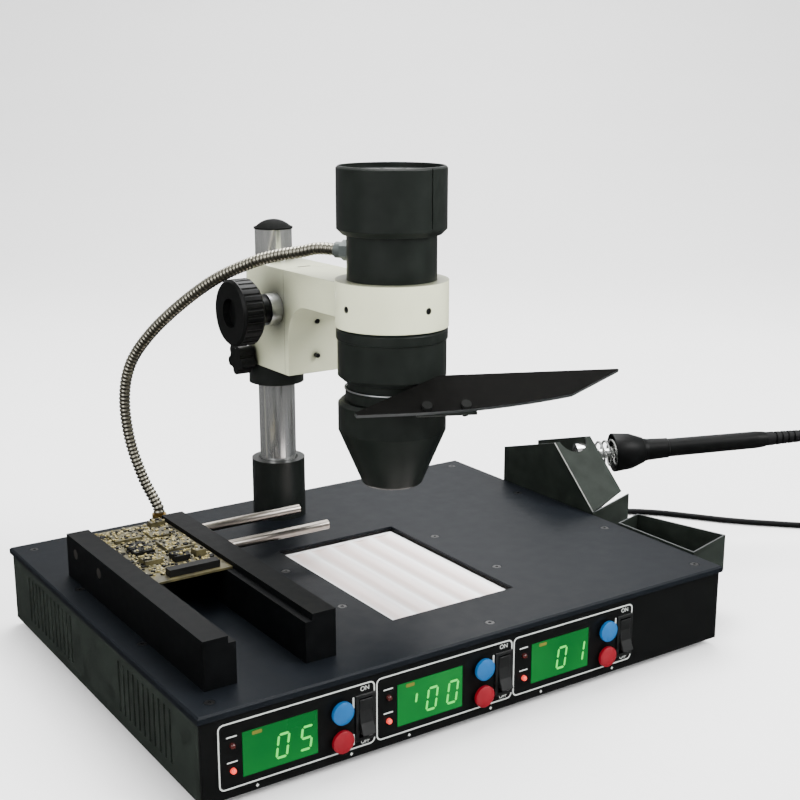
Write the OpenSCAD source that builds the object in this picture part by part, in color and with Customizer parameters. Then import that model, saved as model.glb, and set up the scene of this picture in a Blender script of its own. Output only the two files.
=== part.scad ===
// Infrared rework station: a flat heated base with a pole, a focusing arm that carries an
// infrared lamp, a sliding board holder, a soldering iron in its stand and a small tool tray.
// Lengths are millimetres. X runs along the front, Y to the back and Z up.

/* [Case] */
// Width of the case along its front
case_w = 460; // [430:5:520]
// Depth of the case from front to back
case_d = 360; // [350:5:420]
// Height of the case from its underside to the top of the cover
case_h = 62; // [60:1:80]
// Thickness of the steel sheet
sheet = 2; // [1.5:0.25:3]
// Thickness of the cover's turned-down edge outside the walls
lip = 2; // [1:0.5:4]
// Height of the cover's turned-down edge
lip_h = 5; // [4:0.5:8]
// Height of a rubber foot
foot_h = 6; // [4:1:12]
// Diameter of a rubber foot
foot_d = 24; // [16:1:32]
// Distance of a foot's centre from the walls
foot_inset = 45; // [30:1:60]
// Width of a cooling slot
slot_w = 3; // [2:0.5:4]
// Height of a cooling slot
slot_h = 39; // [30:1:42]
// Diameter of a cover screw's head
screw_head_d = 7; // [5:0.5:9]

/* [Heater] */
// Width of the window over the heater
window_w = 112; // [90:1:130]
// Depth of the window over the heater
window_d = 171; // [150:1:190]
// Distance of the window's centre from the left wall
window_x = 237; // [230:1:250]
// Distance of the window's centre from the front
window_y = 142; // [130:1:150]
// Drop from the cover's top to the heating plate
heater_recess = 4; // [2:0.5:8]
// Thickness of the heating plate
plate_t = 14; // [10:1:18]
// Depth of a trough in the heating plate
trough_h = 1.5; // [0.5:0.25:3]
// Depth of the tray under the heating plate
tray_drop = 25; // [24:1:36]

/* [Front panel] */
// Distance between the left edges of two control groups
group_pitch = 118; // [116:1:130]
// Distance of the first control group from the left wall
group_x = 12; // [8:1:20]
// Width of a display
display_w = 55; // [40:1:58]
// Height of a display
display_h = 31; // [20:1:36]
// Diameter of a button's cap
button_d = 16; // [10:0.5:18]
// Distance a button stands out of the panel
button_proud = 7; // [5:0.5:10]
// Travel of a button
button_travel = 2; // [1:0.5:3]
// Width of a rocker
rocker_w = 10; // [8:0.5:12]
// Height of a rocker
rocker_h = 25; // [20:1:28]
// Angle between a rocker's middle and its two rest positions
rocker_swing = 10; // [6:1:12]
// Diameter of an indicator lamp
led_d = 4; // [3:0.5:5]

/* [Pole] */
// Diameter of the pole
pole_d = 32; // [28:0.5:36]
// Wall thickness of the pole
pole_wall = 3; // [2:0.5:5]
// Length of the pole above the cover
pole_l = 257; // [255:1:320]
// Distance of the pole from the left wall
pole_x = 230.5; // [225:0.5:240]
// Distance of the pole from the front
pole_y = 316; // [314:1:325]
// Diameter of the socket that holds the pole
socket_d = 47; // [42:1:56]
// Height of the socket that holds the pole
socket_h = 53; // [40:1:60]

/* [Focusing arm] */
// Width of the block and of the arm
arm_w = 48; // [44:1:56]
// Height of the block's underside above the cover
block_z = 142; // [140:1:160]
// Height of the block
block_h = 88; // [84:1:96]
// Distance from the pole's axis to the front wall of the slide
slide_reach = 66; // [62:1:76]
// Thickness of the slide's wall
slide_t = 6; // [4:0.5:8]
// Width of the slide's tongue
tongue_w = 20; // [14:1:26]
// Depth of the slide's tongue
tongue_t = 6; // [4:0.5:8]
// Height of the arm
arm_h = 27; // [20:1:32]
// Radius of the fillet under the arm
fillet_r = 30; // [15:1:36]
// Distance from the pole's axis to the lamp's axis
arm_reach = 184.5; // [180:0.5:200]
// Outer diameter of the lamp ring
ring_d = 86; // [82:1:96]
// Height of the lamp ring
ring_h = 35; // [30:1:37]
// Diameter of a focusing knob
knob_d = 55; // [40:1:60]
// Thickness of a focusing knob
knob_t = 20; // [14:1:26]
// Number of teeth on the pinion
pinion_teeth = 14; // [12:1:15]
// Pitch radius of the pinion
pinion_r = 5.6; // [5:0.1:6]
// Height of the clamp collar under the block
clamp_h = 18; // [14:1:22]
// Diameter across the lobes of a star knob
star_d = 27; // [22:1:36]

/* [Lamp] */
// Diameter of the lamp's inner tube
tube_d = 68; // [60:0.5:72]
// Wall thickness of the lamp's pieces
lamp_wall = 2.5; // [2:0.25:4]
// Diameter of the lamp's top barrel, lower body and nozzle
lamp_d = 83; // [78:1:90]
// Height of the top barrel
barrel_h = 50; // [40:1:60]
// Bare length of tube between the ring and the top barrel
tube_gap = 34; // [30:1:44]
// Height of the lower body
body_h = 40; // [30:1:44]
// Bare length of tube between the lower body and the nozzle
neck_h = 16; // [14:0.5:20]
// Height of the nozzle's straight part
nozzle_h = 23.5; // [18:0.5:28]
// Height of the nozzle's cone
cone_h = 43.5; // [36:0.5:46]
// Diameter of the nozzle's mouth
mouth_d = 44; // [34:1:50]
// Thickness of the visor
visor_t = 3; // [2:0.5:4]
// Width of the visor
visor_w = 36; // [28:1:38]
// Length of the visor's lower edge
visor_l = 165; // [155:1:170]
// Tilt of the visor
visor_tilt = 34; // [30:1:38]
// Diameter of the flexible conduit
conduit_d = 10; // [8:0.5:11]

/* [Board holder] */
// Length of a holder bar
bar_l = 245; // [235:1:250]
// Width of a holder bar without its ledge
bar_w = 18; // [14:0.5:22]
// Height of a holder bar
bar_h = 34.5; // [33:0.5:40]
// Width of a bar's ledge
ledge_w = 5.5; // [3:0.5:7]
// Drop from a bar's top to its ledge
ledge_drop = 5; // [3:0.5:5]
// Distance of the fixed bar from the left wall
bar_x = 17.5; // [15:0.5:20]
// Distance of the bars' near ends from the front
bar_y = 28.5; // [26:0.5:36]
// Width of the circuit board
board_w = 62; // [50:1:70]
// Length of the circuit board
board_l = 124; // [110:1:124]
// Diameter of a guide rod
rod_d = 8; // [6:0.5:9]
// Length of a guide rod
rod_l = 198.5; // [190:0.5:220]

/* [Iron, stand and tray] */
// Width of the iron stand
stand_w = 44; // [42:1:50]
// Thickness of the stand's and tray's sheet
stand_t = 1.5; // [1:0.25:2]
// Length of the tool tray's near wall
tray_w = 56.5; // [50:0.5:60]
// Length of the tool tray's outer wall
tray_l = 86.5; // [80:0.5:88]
// Depth of the tool tray
tray_h = 32.5; // [24:0.5:36]
// Length of the iron's handle
handle_l = 142; // [140:1:160]
// Largest diameter of the iron's handle
handle_d = 33; // [30:1:36]
// Length of the iron's strain relief
relief_l = 49; // [40:1:49]
// Diameter of the iron's cord
cord_d = 6; // [5:0.5:6]

/* [Hidden] */
$fn = 64;

// Clearances: a sliding fit on a radius, a loose gap between bodies, and a cut's overshoot
fit = 0.06;
gap = 0.3;
cut = 1;

// Control groups on the front panel
group_count = 3;
display_x = 44.5;
display_z = 27.5;
button_x = 89.5;
raise_z = 36.7;
lower_z = 15.9;
button_cap_t = button_proud - button_travel - 0.5;
stem_d = 9;
stem_in = 12;
rocker_x = 109;
rocker_z = 27.5;
rocker_pivot_y = 3;
rocker_pin_d = 3;
rocker_depth = 9;
rocker_opening = rocker_h + 2 * rocker_depth * sin(rocker_swing) + 2 * gap;
frame_wall = 1.2;
frame_flange = 2.4;
led_x = 10;
led_rows = [18.5, 36];
board_y = 16;
board_t = 1.6;

// Cooling slots in the left wall, as the front end and the length of each group
slot_pitch = 8.6;
slot_rows = [[45, 11], [226, 12]];
slot_z = 9.5;

// Cover screws
screw_inset = 14;
screw_head_h = 1.2;
screw_d = 3.4;
screw_l = 8;
heater_screw_x = window_w / 2 + 17;
heater_screw_y = 43;
cover_z = case_h - sheet;
rim_screws = [
  [screw_inset, screw_inset], [window_x, screw_inset], [case_w - screw_inset, screw_inset],
  [screw_inset, case_d / 3], [screw_inset, case_d * 2 / 3],
  [case_w - screw_inset, case_d / 3], [case_w - screw_inset, case_d * 2 / 3],
  [screw_inset, case_d - screw_inset], [case_w - screw_inset, case_d - screw_inset]
];
heater_screws = [
  for (sx = [-1, 1], sy = [-1, 1])
    [window_x + sx * heater_screw_x, window_y + sy * heater_screw_y]
];
all_screws = concat(rim_screws, heater_screws);

// Heater tray and plate
heater_margin = 6;
heater_flange = heater_screw_x + 7;
plate_w = window_w - 3;
plate_l = window_d - 3;
plate_top = case_h - heater_recess;
plate_rim = 3;
trough_count = 5;
trough_ridge = 1.5;
tray_floor = cover_z - tray_drop;
tray_sheet = 1;
stud_d = 20;

// Heights above the case's underside
block_bottom = case_h + block_z;
block_top = block_bottom + block_h;
pole_top = case_h + pole_l;
arm_bottom = block_top - arm_h;
ring_bottom = arm_bottom - 2;
ring_top = ring_bottom + ring_h;
clamp_top = block_bottom - 1;
clamp_bottom = clamp_top - clamp_h;
clamp_d = arm_w;
clamp_screw_d = 6;
clamp_boss = 4;
behind = -90;
clamp_knob_z = (clamp_bottom + clamp_top) / 2;
block_knob_z = block_bottom + clamp_screw_d / 2 + 1.5;
cap_h = 8;

// Plan positions of the slide, the pinion and the lamp
slide_y = pole_y - slide_reach;
slide_back = slide_y + slide_t;
tongue_back = slide_back + tongue_t;
rack_root = 1.6;
tooth_up = 0.6;
tooth_down = 0.85;
tooth_pitch = 2 * PI * pinion_r / pinion_teeth;
tooth_half = tooth_pitch / 4 - 0.12;
tooth_lean = tan(20);
rack_w = 10;
pitch_y = tongue_back + rack_root + 0.7;
pinion_y = pitch_y + pinion_r;
pinion_up = 54;
pinion_z = block_bottom + pinion_up;
rack_teeth = 2 * floor((block_h - pinion_up) / tooth_pitch);
shaft_d = 10;
hub_d = 26;
hub_l = 10;
knob_neck_l = 13;
knob_neck_d = 22;
knob_ribs = 28;
lamp_x = pole_x;
lamp_y = pole_y - arm_reach;

// Heights of the lamp's pieces
tube_r = tube_d / 2;
body_top = ring_bottom - 1;
body_bottom = body_top - body_h;
nozzle_top = body_bottom - neck_h;
nozzle_low = nozzle_top - nozzle_h;
mouth_z = nozzle_low - cone_h;
barrel_bottom = ring_top + tube_gap;
tube_bottom = nozzle_top - 6;
tube_top = barrel_bottom + 13;
seat = 6;
set_screw_angles = [-85, -175, 50];
set_screw_d = 5;
set_screw_z = ring_bottom + 16;
slide_screws = [block_bottom + 15, block_bottom + 44];
slide_screw_d = 4;

// Visor, in a frame on the lamp's axis whose X runs along the visor's long edge
visor_turn = -24.1;
visor_start = -38.4;
visor_front = lamp_d / 2 + 20.5;
visor_z = nozzle_top + 1.5;
visor_lean = visor_w * 1.9;
visor_tip = 42;
visor_corner = 1;
visor_bolt_s = [54, 83];
visor_bolt_t = 5;
visor_bolt_d = 4;
band_t = 1.5;
band_h = 8;
band_r = tube_r + gap;
bracket_t = 2;

// Flexible conduit, in the upright plane through the lamp's axis and the nut on the cover
nut_x = 122;
nut_y = 335;
nut_d = 16;
nut_h = 8;
ferrule_l = 6;
thread_d = 9;
conduit_z = ring_top + 19;
conduit_run = norm([nut_x - lamp_x, nut_y - lamp_y]);
conduit_angle = atan2(nut_y - lamp_y, nut_x - lamp_x);
conduit_from = [tube_r + nut_h + ferrule_l, conduit_z];
conduit_to = [conduit_run, case_h + nut_h + ferrule_l];
conduit_shape = [
  [0, 1], [0.09, 1], [0.18, 0.985], [0.31, 0.965], [0.44, 0.935], [0.63, 0.87],
  [0.83, 0.77], [1.01, 0.655], [1.13, 0.54], [1.175, 0.41], [1.155, 0.26],
  [1.09, 0.13], [1.025, 0.05], [1.003, 0.02], [1, 0]
];

// Board holder
jaw_x = bar_x + bar_w + board_w + 2 * gap;
ledge_z = case_h + bar_h - ledge_drop;
rod_z = ledge_z - 2.5 - rod_d / 2;
rod_rows = [bar_y + bar_l - 66.5, bar_y + bar_l - 18.5];
board_pcb = 1.6;
board_start = bar_y + bar_l - board_l - 4;

// Stand on the right wall, with its outline as depth and height
stand_x = case_w + lip;
stand_y0 = 153;
stand_y1 = 282;
stand_low = case_h - 42;
stand_peak = [208, case_h + 54];
stand_rear = case_h + 33;
stand_front = case_h + 2;
slope_run = stand_peak[0] - stand_y0;
slope_rise = stand_peak[1] - stand_front;
slope_l = norm([slope_run, slope_rise]);
slope_angle = atan2(slope_rise, slope_run);
slope_short = 62;
stand_cut = 60;
front_wall_rise = 9.5;
boss_d = 8;
boss_inset = 22;

// Tool tray on the right wall
tray_near = [stand_x, 30];
tray_turn = 15.5;
tray_top = case_h + 1.6;
tray_along = [cos(tray_turn), sin(tray_turn)];
tray_outer = tray_near + tray_w * tray_along;
tray_corner = tray_outer + tray_l * [-tray_along[1], tray_along[0]];
tray_far = tray_corner - (tray_corner[0] - stand_x) / tray_along[0] * tray_along;
tray_plan = [tray_near, tray_outer, tray_corner, tray_far];

// Iron: its axis leaves the stand's outer wall, turned to the front and slightly upwards
iron_turn = -26.3;
iron_rise = 3;
iron_y = 215.8;
iron_z = case_h + 33.2;
iron_dir = [cos(iron_rise) * cos(iron_turn), cos(iron_rise) * sin(iron_turn), sin(iron_rise)];
iron_start = [stand_x + stand_w, iron_y, iron_z];
collar_in = 8;
collar_out = 8;
collar_d = 24;
collar_bore = 16;
spring_turns = 5;
spring_wire = 2.2;
flange_s = 39;
shaft_in = 36;
iron_end = iron_start + (flange_s + handle_l + relief_l) * iron_dir;

// Socket and plug for the iron's cord, on the right wall
plug_y = stand_y1 + 28;
plug_z = 28;
plug_l = 36;
plug_d = 17;

// Mains inlet in the back wall, and the transformer behind it
inlet_x = 80;
inlet_z = 31;
inlet_w = 28;
inlet_h = 20;
core_w = 84;
core_d = 66;
core_h = 20;

// Route of the cord from the plug over the table to its coil, and from the coil up to the iron
table = cord_d / 2 - foot_h;
coil_at = [805, 92];
coil_r = 33;
coil_h = 4.3 * cord_d;
run_route = [
  [case_w + plug_l + 2, plug_y, plug_z], [508, 310, 28], [518, 310, 27], [529, 310, 25],
  [540, 309, 22], [551, 309, 18], [562, 308, 13], [573, 306, 8], [584, 303, 4], [596, 299, 1],
  [608, 294, -1], [620, 288, table], [632, 280, table], [644, 270, table], [655, 259, table],
  [665, 246, table], [675, 232, table], [685, 218, table], [695, 204, table], [706, 191, table],
  [718, 178, table], [731, 165, table], [744, 152, table], [758, 140, table], [773, 131, table],
  [789, 126, table], [coil_at[0], coil_at[1] + coil_r, table]
];
rise_route = [
  iron_end, iron_end + 10 * iron_dir, [730, 105, 108], [740, 100, 107], [750, 95, 103],
  [759, 91, 97], [767, 87, 89], [774, 83, 79], [779, 81, 69], [784, 77, 58], [788, 74, 47],
  [794, 70, 36], [802, 67, 27], [812, 65, 21], [823, 67, 18], [832, 73, 17]
];

// Origin: under the middle of the object, on the surface that it stands on
front_reach = -button_proud;
back_reach = lamp_y + (conduit_from[0] + 1.18 * (conduit_run - conduit_from[0])) * sin(conduit_angle)
  + conduit_d / 2;
origin_x = (iron_end[0] + 2 - lip) / 2;
origin_y = (front_reach + back_reach) / 2;

function unit(v) = v / norm(v);

// One point of a smooth curve between b and c, which also passes a and d
function curve_point(a, b, c, d, t) = 0.5 * (
  2 * b + (c - a) * t + (2 * a - 5 * b + 4 * c - d) * t * t + (3 * b - a - 3 * c + d) * t * t * t
);

// Points of a smooth curve through all of p, with n steps between two points
function smooth_curve(p, n) = concat(
  [
    for (i = [0 : len(p) - 2], k = [0 : n - 1])
      curve_point(p[max(i - 1, 0)], p[i], p[i + 1], p[min(i + 2, len(p) - 1)], k / n)
  ],
  [p[len(p) - 1]]
);

// Corner p of an outline, moved inwards by t. The corners a and b come before and after it.
function inner_corner(a, p, b, t) =
  let (u = unit(p - a), v = unit(b - p))
    p + t * (v - u) / (u[0] * v[1] - u[1] * v[0]);

// Direction of travel at point i of p
function heading(p, i) = unit(p[min(i + 1, len(p) - 1)] - p[max(i - 1, 0)]);

// Tube of radius r along the points p. No heading may lie along ref.
module tube_along(p, r, sides, ref, first, last) {
  ring = [
    for (i = [0 : len(p) - 1])
      let (
        way = i == 0 && first != undef ? first
          : i == len(p) - 1 && last != undef ? last : heading(p, i),
        side = unit(cross(way, ref)),
        up = cross(side, way)
      )
        for (k = [0 : sides - 1])
          p[i] + r * (cos(360 * k / sides) * side + sin(360 * k / sides) * up)
  ];
  walls = [
    for (i = [0 : len(p) - 2], k = [0 : sides - 1])
      let (a = i * sides + k, b = i * sides + (k + 1) % sides)
        each [[a, b, b + sides], [a, b + sides, a + sides]]
  ];
  ends = [
    [for (k = [sides - 1 : -1 : 0]) k],
    [for (k = [0 : sides - 1]) (len(p) - 1) * sides + k]
  ];
  polyhedron(ring, concat(walls, ends));
}

// Puts the case's front left lower corner at its place in the part's frame
module at_case() {
  translate([-origin_x, -origin_y, foot_h])
    children();
}

// Puts a control group's left edge at its place on the panel
module at_group(i) {
  translate([group_x + i * group_pitch, 0, 0])
    children();
}

module at_lamp(z) {
  translate([lamp_x, lamp_y, z])
    children();
}

module at_pole(z) {
  translate([pole_x, pole_y, z])
    children();
}

// Turns Z along the iron's axis, with its zero at the stand's outer wall
module at_iron(s) {
  translate(iron_start + s * iron_dir)
    rotate([0, 90 - iron_rise, iron_turn])
      children();
}

// Cylinders along X and along Y
module along_x(d, l) {
  rotate([0, 90, 0])
    cylinder(d = d, h = l);
}

module along_y(d, l) {
  rotate([-90, 0, 0])
    cylinder(d = d, h = l);
}

module tube(outer, inner, h) {
  difference() {
    cylinder(d = outer, h = h);
    translate([0, 0, -cut])
      cylinder(d = inner, h = h + 2 * cut);
  }
}

// Star knob along Z with round lobes
module star_knob(d, h, lobes) {
  lobe_d = d / 3;
  cylinder(d = d * 0.72, h = h);
  for (i = [0 : lobes - 1])
    rotate(360 / lobes * i)
      translate([d / 2 - lobe_d / 2, 0, 0])
        cylinder(d = lobe_d, h = h);
}

module case_tub() {
  at_case()
    color("#25272a")
      difference() {
        translate([0, sheet, 0])
          cube([case_w, case_d - sheet, cover_z]);
        translate([sheet, sheet - cut, sheet])
          cube([case_w - 2 * sheet, case_d - 2 * sheet + cut, case_h]);
        for (row = slot_rows, i = [0 : row[1] - 1])
          translate([-cut, row[0] + i * slot_pitch - slot_w / 2, slot_z])
            cube([sheet + 2 * cut, slot_w, slot_h]);
        for (row = slot_rows, i = [0 : row[1] - 1])
          translate([case_w - sheet - cut, row[0] + i * slot_pitch - slot_w / 2, slot_z])
            cube([sheet + 2 * cut, slot_w, slot_h]);
        mains_opening();
        translate([case_w - sheet - cut, plug_y, plug_z])
          along_x(plug_d - 3 + 2 * fit, sheet + 2 * cut);
      }
}

module top_plate() {
  at_case()
    color("#2b2d31")
      difference() {
        translate([-lip, -lip, case_h - lip_h])
          cube([case_w + 2 * lip, case_d + 2 * lip, lip_h]);
        translate([0, 0, case_h - lip_h - cut])
          cube([case_w, case_d, lip_h - sheet + cut]);
        translate([window_x - window_w / 2, window_y - window_d / 2, case_h - lip_h - cut])
          cube([window_w, window_d, lip_h + 2 * cut]);
        for (p = all_screws)
          translate([p[0], p[1], 0])
            screw_hole();
        translate([nut_x, nut_y, cover_z - cut])
          cylinder(d = thread_d + 2 * fit, h = sheet + 2 * cut);
        for (y = [-lip, case_d + lip])
          edge_bevel([-2 * lip, y, case_h], 0, case_w + 4 * lip);
        for (x = [-lip, case_w + lip])
          edge_bevel([x, -2 * lip, case_h], 90, case_d + 4 * lip);
      }
}

// Takes the sharp edge off the cover along a line that starts at p
module edge_bevel(p, turn, l) {
  bevel = lip * 0.9;
  translate(p)
    rotate([0, 0, turn])
      rotate([45, 0, 0])
        translate([0, -bevel / 2, -bevel / 2])
          cube([l, bevel, bevel]);
}

module screw_hole() {
  translate([0, 0, case_h - screw_head_h])
    cylinder(d = screw_head_d + 2 * gap, h = screw_head_h + cut);
  translate([0, 0, cover_z - lip_h])
    cylinder(d = screw_d + gap, h = sheet + lip_h);
}

module cover_screws() {
  at_case()
    color("#3a3c40")
      for (p = all_screws)
        translate([p[0], p[1], 0])
          difference() {
            union() {
              translate([0, 0, case_h - screw_head_h])
                cylinder(d = screw_head_d, h = screw_head_h);
              translate([0, 0, case_h - screw_l])
                cylinder(d = screw_d, h = screw_l - screw_head_h / 2);
            }
            translate([0, 0, case_h - screw_head_h / 2])
              cylinder(d = screw_d * 0.8, h = screw_head_h, $fn = 6);
          }
}

module front_panel() {
  at_case()
    color("#17181a")
      difference() {
        cube([case_w, sheet, cover_z]);
        for (i = [0 : group_count - 1])
          at_group(i)
            panel_cuts();
      }
}

module panel_cuts() {
  translate([display_x - display_w / 2, -cut, display_z - display_h / 2])
    cube([display_w, sheet + 2 * cut, display_h]);
  for (z = [raise_z, lower_z])
    translate([button_x, -cut, z])
      along_y(stem_d + 2 * gap, sheet + 2 * cut);
  translate([rocker_x, -cut, rocker_z])
    rocker_box(rocker_w + 2 * gap + 2 * frame_wall, rocker_opening + 2 * frame_wall, sheet + 2 * cut);
  for (z = led_rows)
    translate([led_x, -cut, z])
      along_y(led_d + 2 * fit, sheet + 2 * cut);
}

// Block that is centred in X and Z and runs along Y
module rocker_box(w, h, l) {
  translate([-w / 2, 0, -h / 2])
    cube([w, l, h]);
}

module rubber_feet() {
  at_case()
    color("#1b1b1c")
      for (x = [foot_inset, case_w - foot_inset], y = [foot_inset, case_d - foot_inset])
        translate([x, y, -foot_h])
          cylinder(d1 = foot_d * 0.84, d2 = foot_d, h = foot_h);
}

module heater_tray() {
  box_w = window_w + 2 * heater_margin;
  box_d = window_d + 2 * heater_margin;
  at_case()
    color("#a9abad")
      translate([window_x, window_y, 0])
        difference() {
          union() {
            translate([-heater_flange, -box_d / 2, cover_z - tray_sheet])
              cube([2 * heater_flange, box_d, tray_sheet]);
            translate([-box_w / 2, -box_d / 2, tray_floor - tray_sheet])
              cube([box_w, box_d, tray_drop + tray_sheet]);
          }
          translate([-box_w / 2 + tray_sheet, -box_d / 2 + tray_sheet, tray_floor])
            cube([box_w - 2 * tray_sheet, box_d - 2 * tray_sheet, tray_drop + cut]);
          for (sx = [-1, 1], sy = [-1, 1])
            translate([sx * heater_screw_x, sy * heater_screw_y, cover_z - tray_sheet - cut])
              cylinder(d = screw_d + gap, h = tray_sheet + 2 * cut);
        }
}

// White ceramic plate with shallow troughs along it, on four studs
module heater_plate() {
  trough_step = (plate_w - 2 * plate_rim) / trough_count;
  trough_w = trough_step - trough_ridge;
  trough_r = (trough_w * trough_w / 4 + trough_h * trough_h) / (2 * trough_h);
  at_case()
    color("#f1ece6")
      translate([window_x, window_y, 0]) {
        difference() {
          translate([-plate_w / 2, -plate_l / 2, plate_top - plate_t])
            cube([plate_w, plate_l, plate_t]);
          for (i = [0 : trough_count - 1])
            translate([
              plate_rim + (i + 0.5) * trough_step - plate_w / 2,
              plate_rim - plate_l / 2,
              plate_top - trough_h + trough_r
            ])
              along_y(2 * trough_r, plate_l - 2 * plate_rim);
        }
        for (x = [-plate_w / 4, plate_w / 4], y = [-plate_l / 4, plate_l / 4])
          translate([x, y, tray_floor])
            cylinder(d = stud_d, h = plate_top - plate_t - tray_floor);
      }
}

module displays() {
  flange = 3;
  lens = sheet + 0.4;
  at_case()
    color("#12701f")
      for (i = [0 : group_count - 1])
        at_group(i)
          translate([display_x, 0, display_z]) {
            translate([0, -0.4, 0])
              rocker_box(display_w - 2 * fit, display_h - 2 * fit, lens);
            translate([0, sheet, 0])
              rocker_box(display_w + 2 * flange, display_h + 2 * flange, board_y - sheet);
          }
}

module indicator_lamps() {
  at_case()
    color("#d2433f")
      for (i = [0 : group_count - 1], z = led_rows)
        at_group(i)
          translate([led_x, 0, z]) {
            translate([0, -1, 0])
              along_y(led_d, board_y + 1);
            translate([0, -1, 0])
              sphere(d = led_d);
          }
}

module push_button(i, z, tint) {
  dome_r = button_d;
  at_case()
    color(tint)
      at_group(i)
        translate([button_x, 0, z]) {
          intersection() {
            translate([0, -button_proud, 0])
              along_y(button_d, button_cap_t);
            translate([0, -button_proud + dome_r, 0])
              sphere(r = dome_r);
          }
          translate([0, -button_proud + button_cap_t - cut, 0])
            along_y(stem_d, button_proud - button_cap_t + cut + stem_in);
        }
}

module raise_button(i) {
  push_button(i, raise_z, "#1f6fc0");
}

module lower_button(i) {
  push_button(i, lower_z, "#b3121f");
}

// Rocker with a hollow front, drawn with its upper end pushed in
module rocker(i) {
  half = rocker_h / 2;
  at_case()
    color("#141416")
      at_group(i)
        translate([rocker_x, rocker_pivot_y, rocker_z])
          rotate([-rocker_swing, 0, 0]) {
            rotate([90, 0, 90])
              translate([0, 0, -rocker_w / 2])
                linear_extrude(rocker_w)
                  polygon([
                    [-7, -half], [-5, -half / 3], [-5, half / 3], [-7, half],
                    [0, half * 0.75], [3.5, 3], [3.5, -3], [0, -half * 0.75]
                  ]);
            translate([-rocker_w / 2 - frame_wall, 0, 0])
              along_x(rocker_pin_d, rocker_w + 2 * frame_wall);
          }
}

module rocker_frames() {
  inner_w = rocker_w + 2 * gap;
  outer_w = inner_w + 2 * frame_wall;
  outer_h = rocker_opening + 2 * frame_wall;
  at_case()
    color("#1d1d20")
      for (i = [0 : group_count - 1])
        at_group(i)
          translate([rocker_x, 0, rocker_z])
            difference() {
              union() {
                translate([0, -frame_flange / 2, 0])
                  rocker_box(outer_w + frame_flange, outer_h + frame_flange, frame_flange / 2);
                rocker_box(outer_w - 2 * fit, outer_h - 2 * fit, board_y - cut);
              }
              translate([0, -frame_flange, 0])
                rocker_box(inner_w, rocker_opening, board_y - cut);
              translate([-outer_w, rocker_pivot_y, 0])
                along_x(rocker_pin_d + 2 * fit, 2 * outer_w);
            }
}

// Board behind the panel, on posts, with a switch under each button
module control_board() {
  board_w2 = group_pitch * group_count - 8;
  post_d = 7;
  at_case()
    color("#1f6b35") {
      difference() {
        translate([group_x + 4, board_y, 4])
          cube([board_w2, board_t, cover_z - 8]);
        for (i = [0 : group_count - 1])
          at_group(i)
            translate([rocker_x, board_y - cut, rocker_z])
              rocker_box(rocker_w * 0.6, rocker_h * 0.5, board_t + 2 * cut);
      }
      for (i = [0 : group_count - 1], z = [raise_z, lower_z])
        at_group(i)
          translate([button_x, stem_in + button_travel + gap, z])
            rocker_box(12, 12, board_y - stem_in - button_travel - gap);
      for (i = [0 : group_count - 1])
        at_group(i)
          translate([button_x, sheet, (raise_z + lower_z) / 2 + 24])
            along_y(post_d, board_y - sheet);
    }
}

module transformer() {
  core = [core_w, core_d, core_h];
  coil = [core_w - 32, core_d + 18, 2 * core_h];
  place = [case_w - core_w, case_d - core_d, sheet];
  at_case()
    color("#8c5a2a")
      translate(place) {
        translate([-core[0] / 2, -core[1] / 2, 0])
          cube(core);
        translate([-coil[0] / 2, -coil[1] / 2, core[2] / 4])
          cube(coil);
      }
}

// Opening in the back wall for the mains inlet
module mains_opening() {
  translate([inlet_x, case_d - sheet - cut, inlet_z])
    rocker_box(inlet_w, inlet_h, sheet + 2 * cut);
}

module mains_inlet() {
  at_case()
    color("#161618")
      translate([inlet_x, case_d, inlet_z])
        difference() {
          union() {
            rocker_box(inlet_w + 20, inlet_h + 4, 2.5);
            translate([0, -24, 0])
              rocker_box(inlet_w - 2 * gap, inlet_h - 2 * gap, 25);
          }
          translate([0, -14, 0])
            rocker_box(inlet_w - 5, inlet_h - 5, 18);
        }
}

module iron_socket() {
  flange_t = 3;
  at_case()
    color("#b9babd")
      translate([case_w, plug_y, plug_z]) {
        translate([-sheet - 6, 0, 0])
          along_x(plug_d - 3, sheet + 7);
        along_x(plug_d + 5, flange_t);
        translate([flange_t - cut, 0, 0])
          along_x(plug_d, plug_l - flange_t - 8 + cut);
        translate([plug_l - 8 - cut, 0, 0])
          along_x(cord_d + 4, 8 + cut + 2);
      }
}

module pole_base() {
  at_case()
    color("#1f2123")
      at_pole(case_h)
        difference() {
          cylinder(d = socket_d, h = socket_h);
          translate([0, 0, -cut])
            cylinder(d = pole_d + 2 * fit, h = socket_h + 2 * cut);
          translate([0, 0, socket_h - 1.5])
            cylinder(d1 = pole_d + 2 * fit, d2 = pole_d + 3.2, h = 1.6);
        }
}

module pole() {
  at_case()
    color("#d9dbdd")
      at_pole(case_h)
        tube(pole_d, pole_d - 2 * pole_wall, pole_l);
}

module pole_cap() {
  rim_d = pole_d + 1.6;
  dome_r = (rim_d * rim_d / 4 + cap_h * cap_h) / (2 * cap_h);
  at_case()
    color("#16181a")
      at_pole(pole_top) {
        intersection() {
          cylinder(d = rim_d, h = cap_h);
          translate([0, 0, cap_h - dome_r])
            sphere(r = dome_r);
        }
        translate([0, 0, -14])
          cylinder(d = pole_d - 2 * pole_wall - 2 * fit, h = 14 + cut);
        cylinder(d = rim_d, h = 1.5);
      }
}

// Screw hole towards the pole's axis, at height z and turned from the left side
module clamp_bore(z, turn) {
  at_pole(z)
    rotate(turn)
      translate([-arm_w - star_d, 0, 0])
        along_x(clamp_screw_d + 2 * fit, arm_w + star_d);
}

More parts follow.
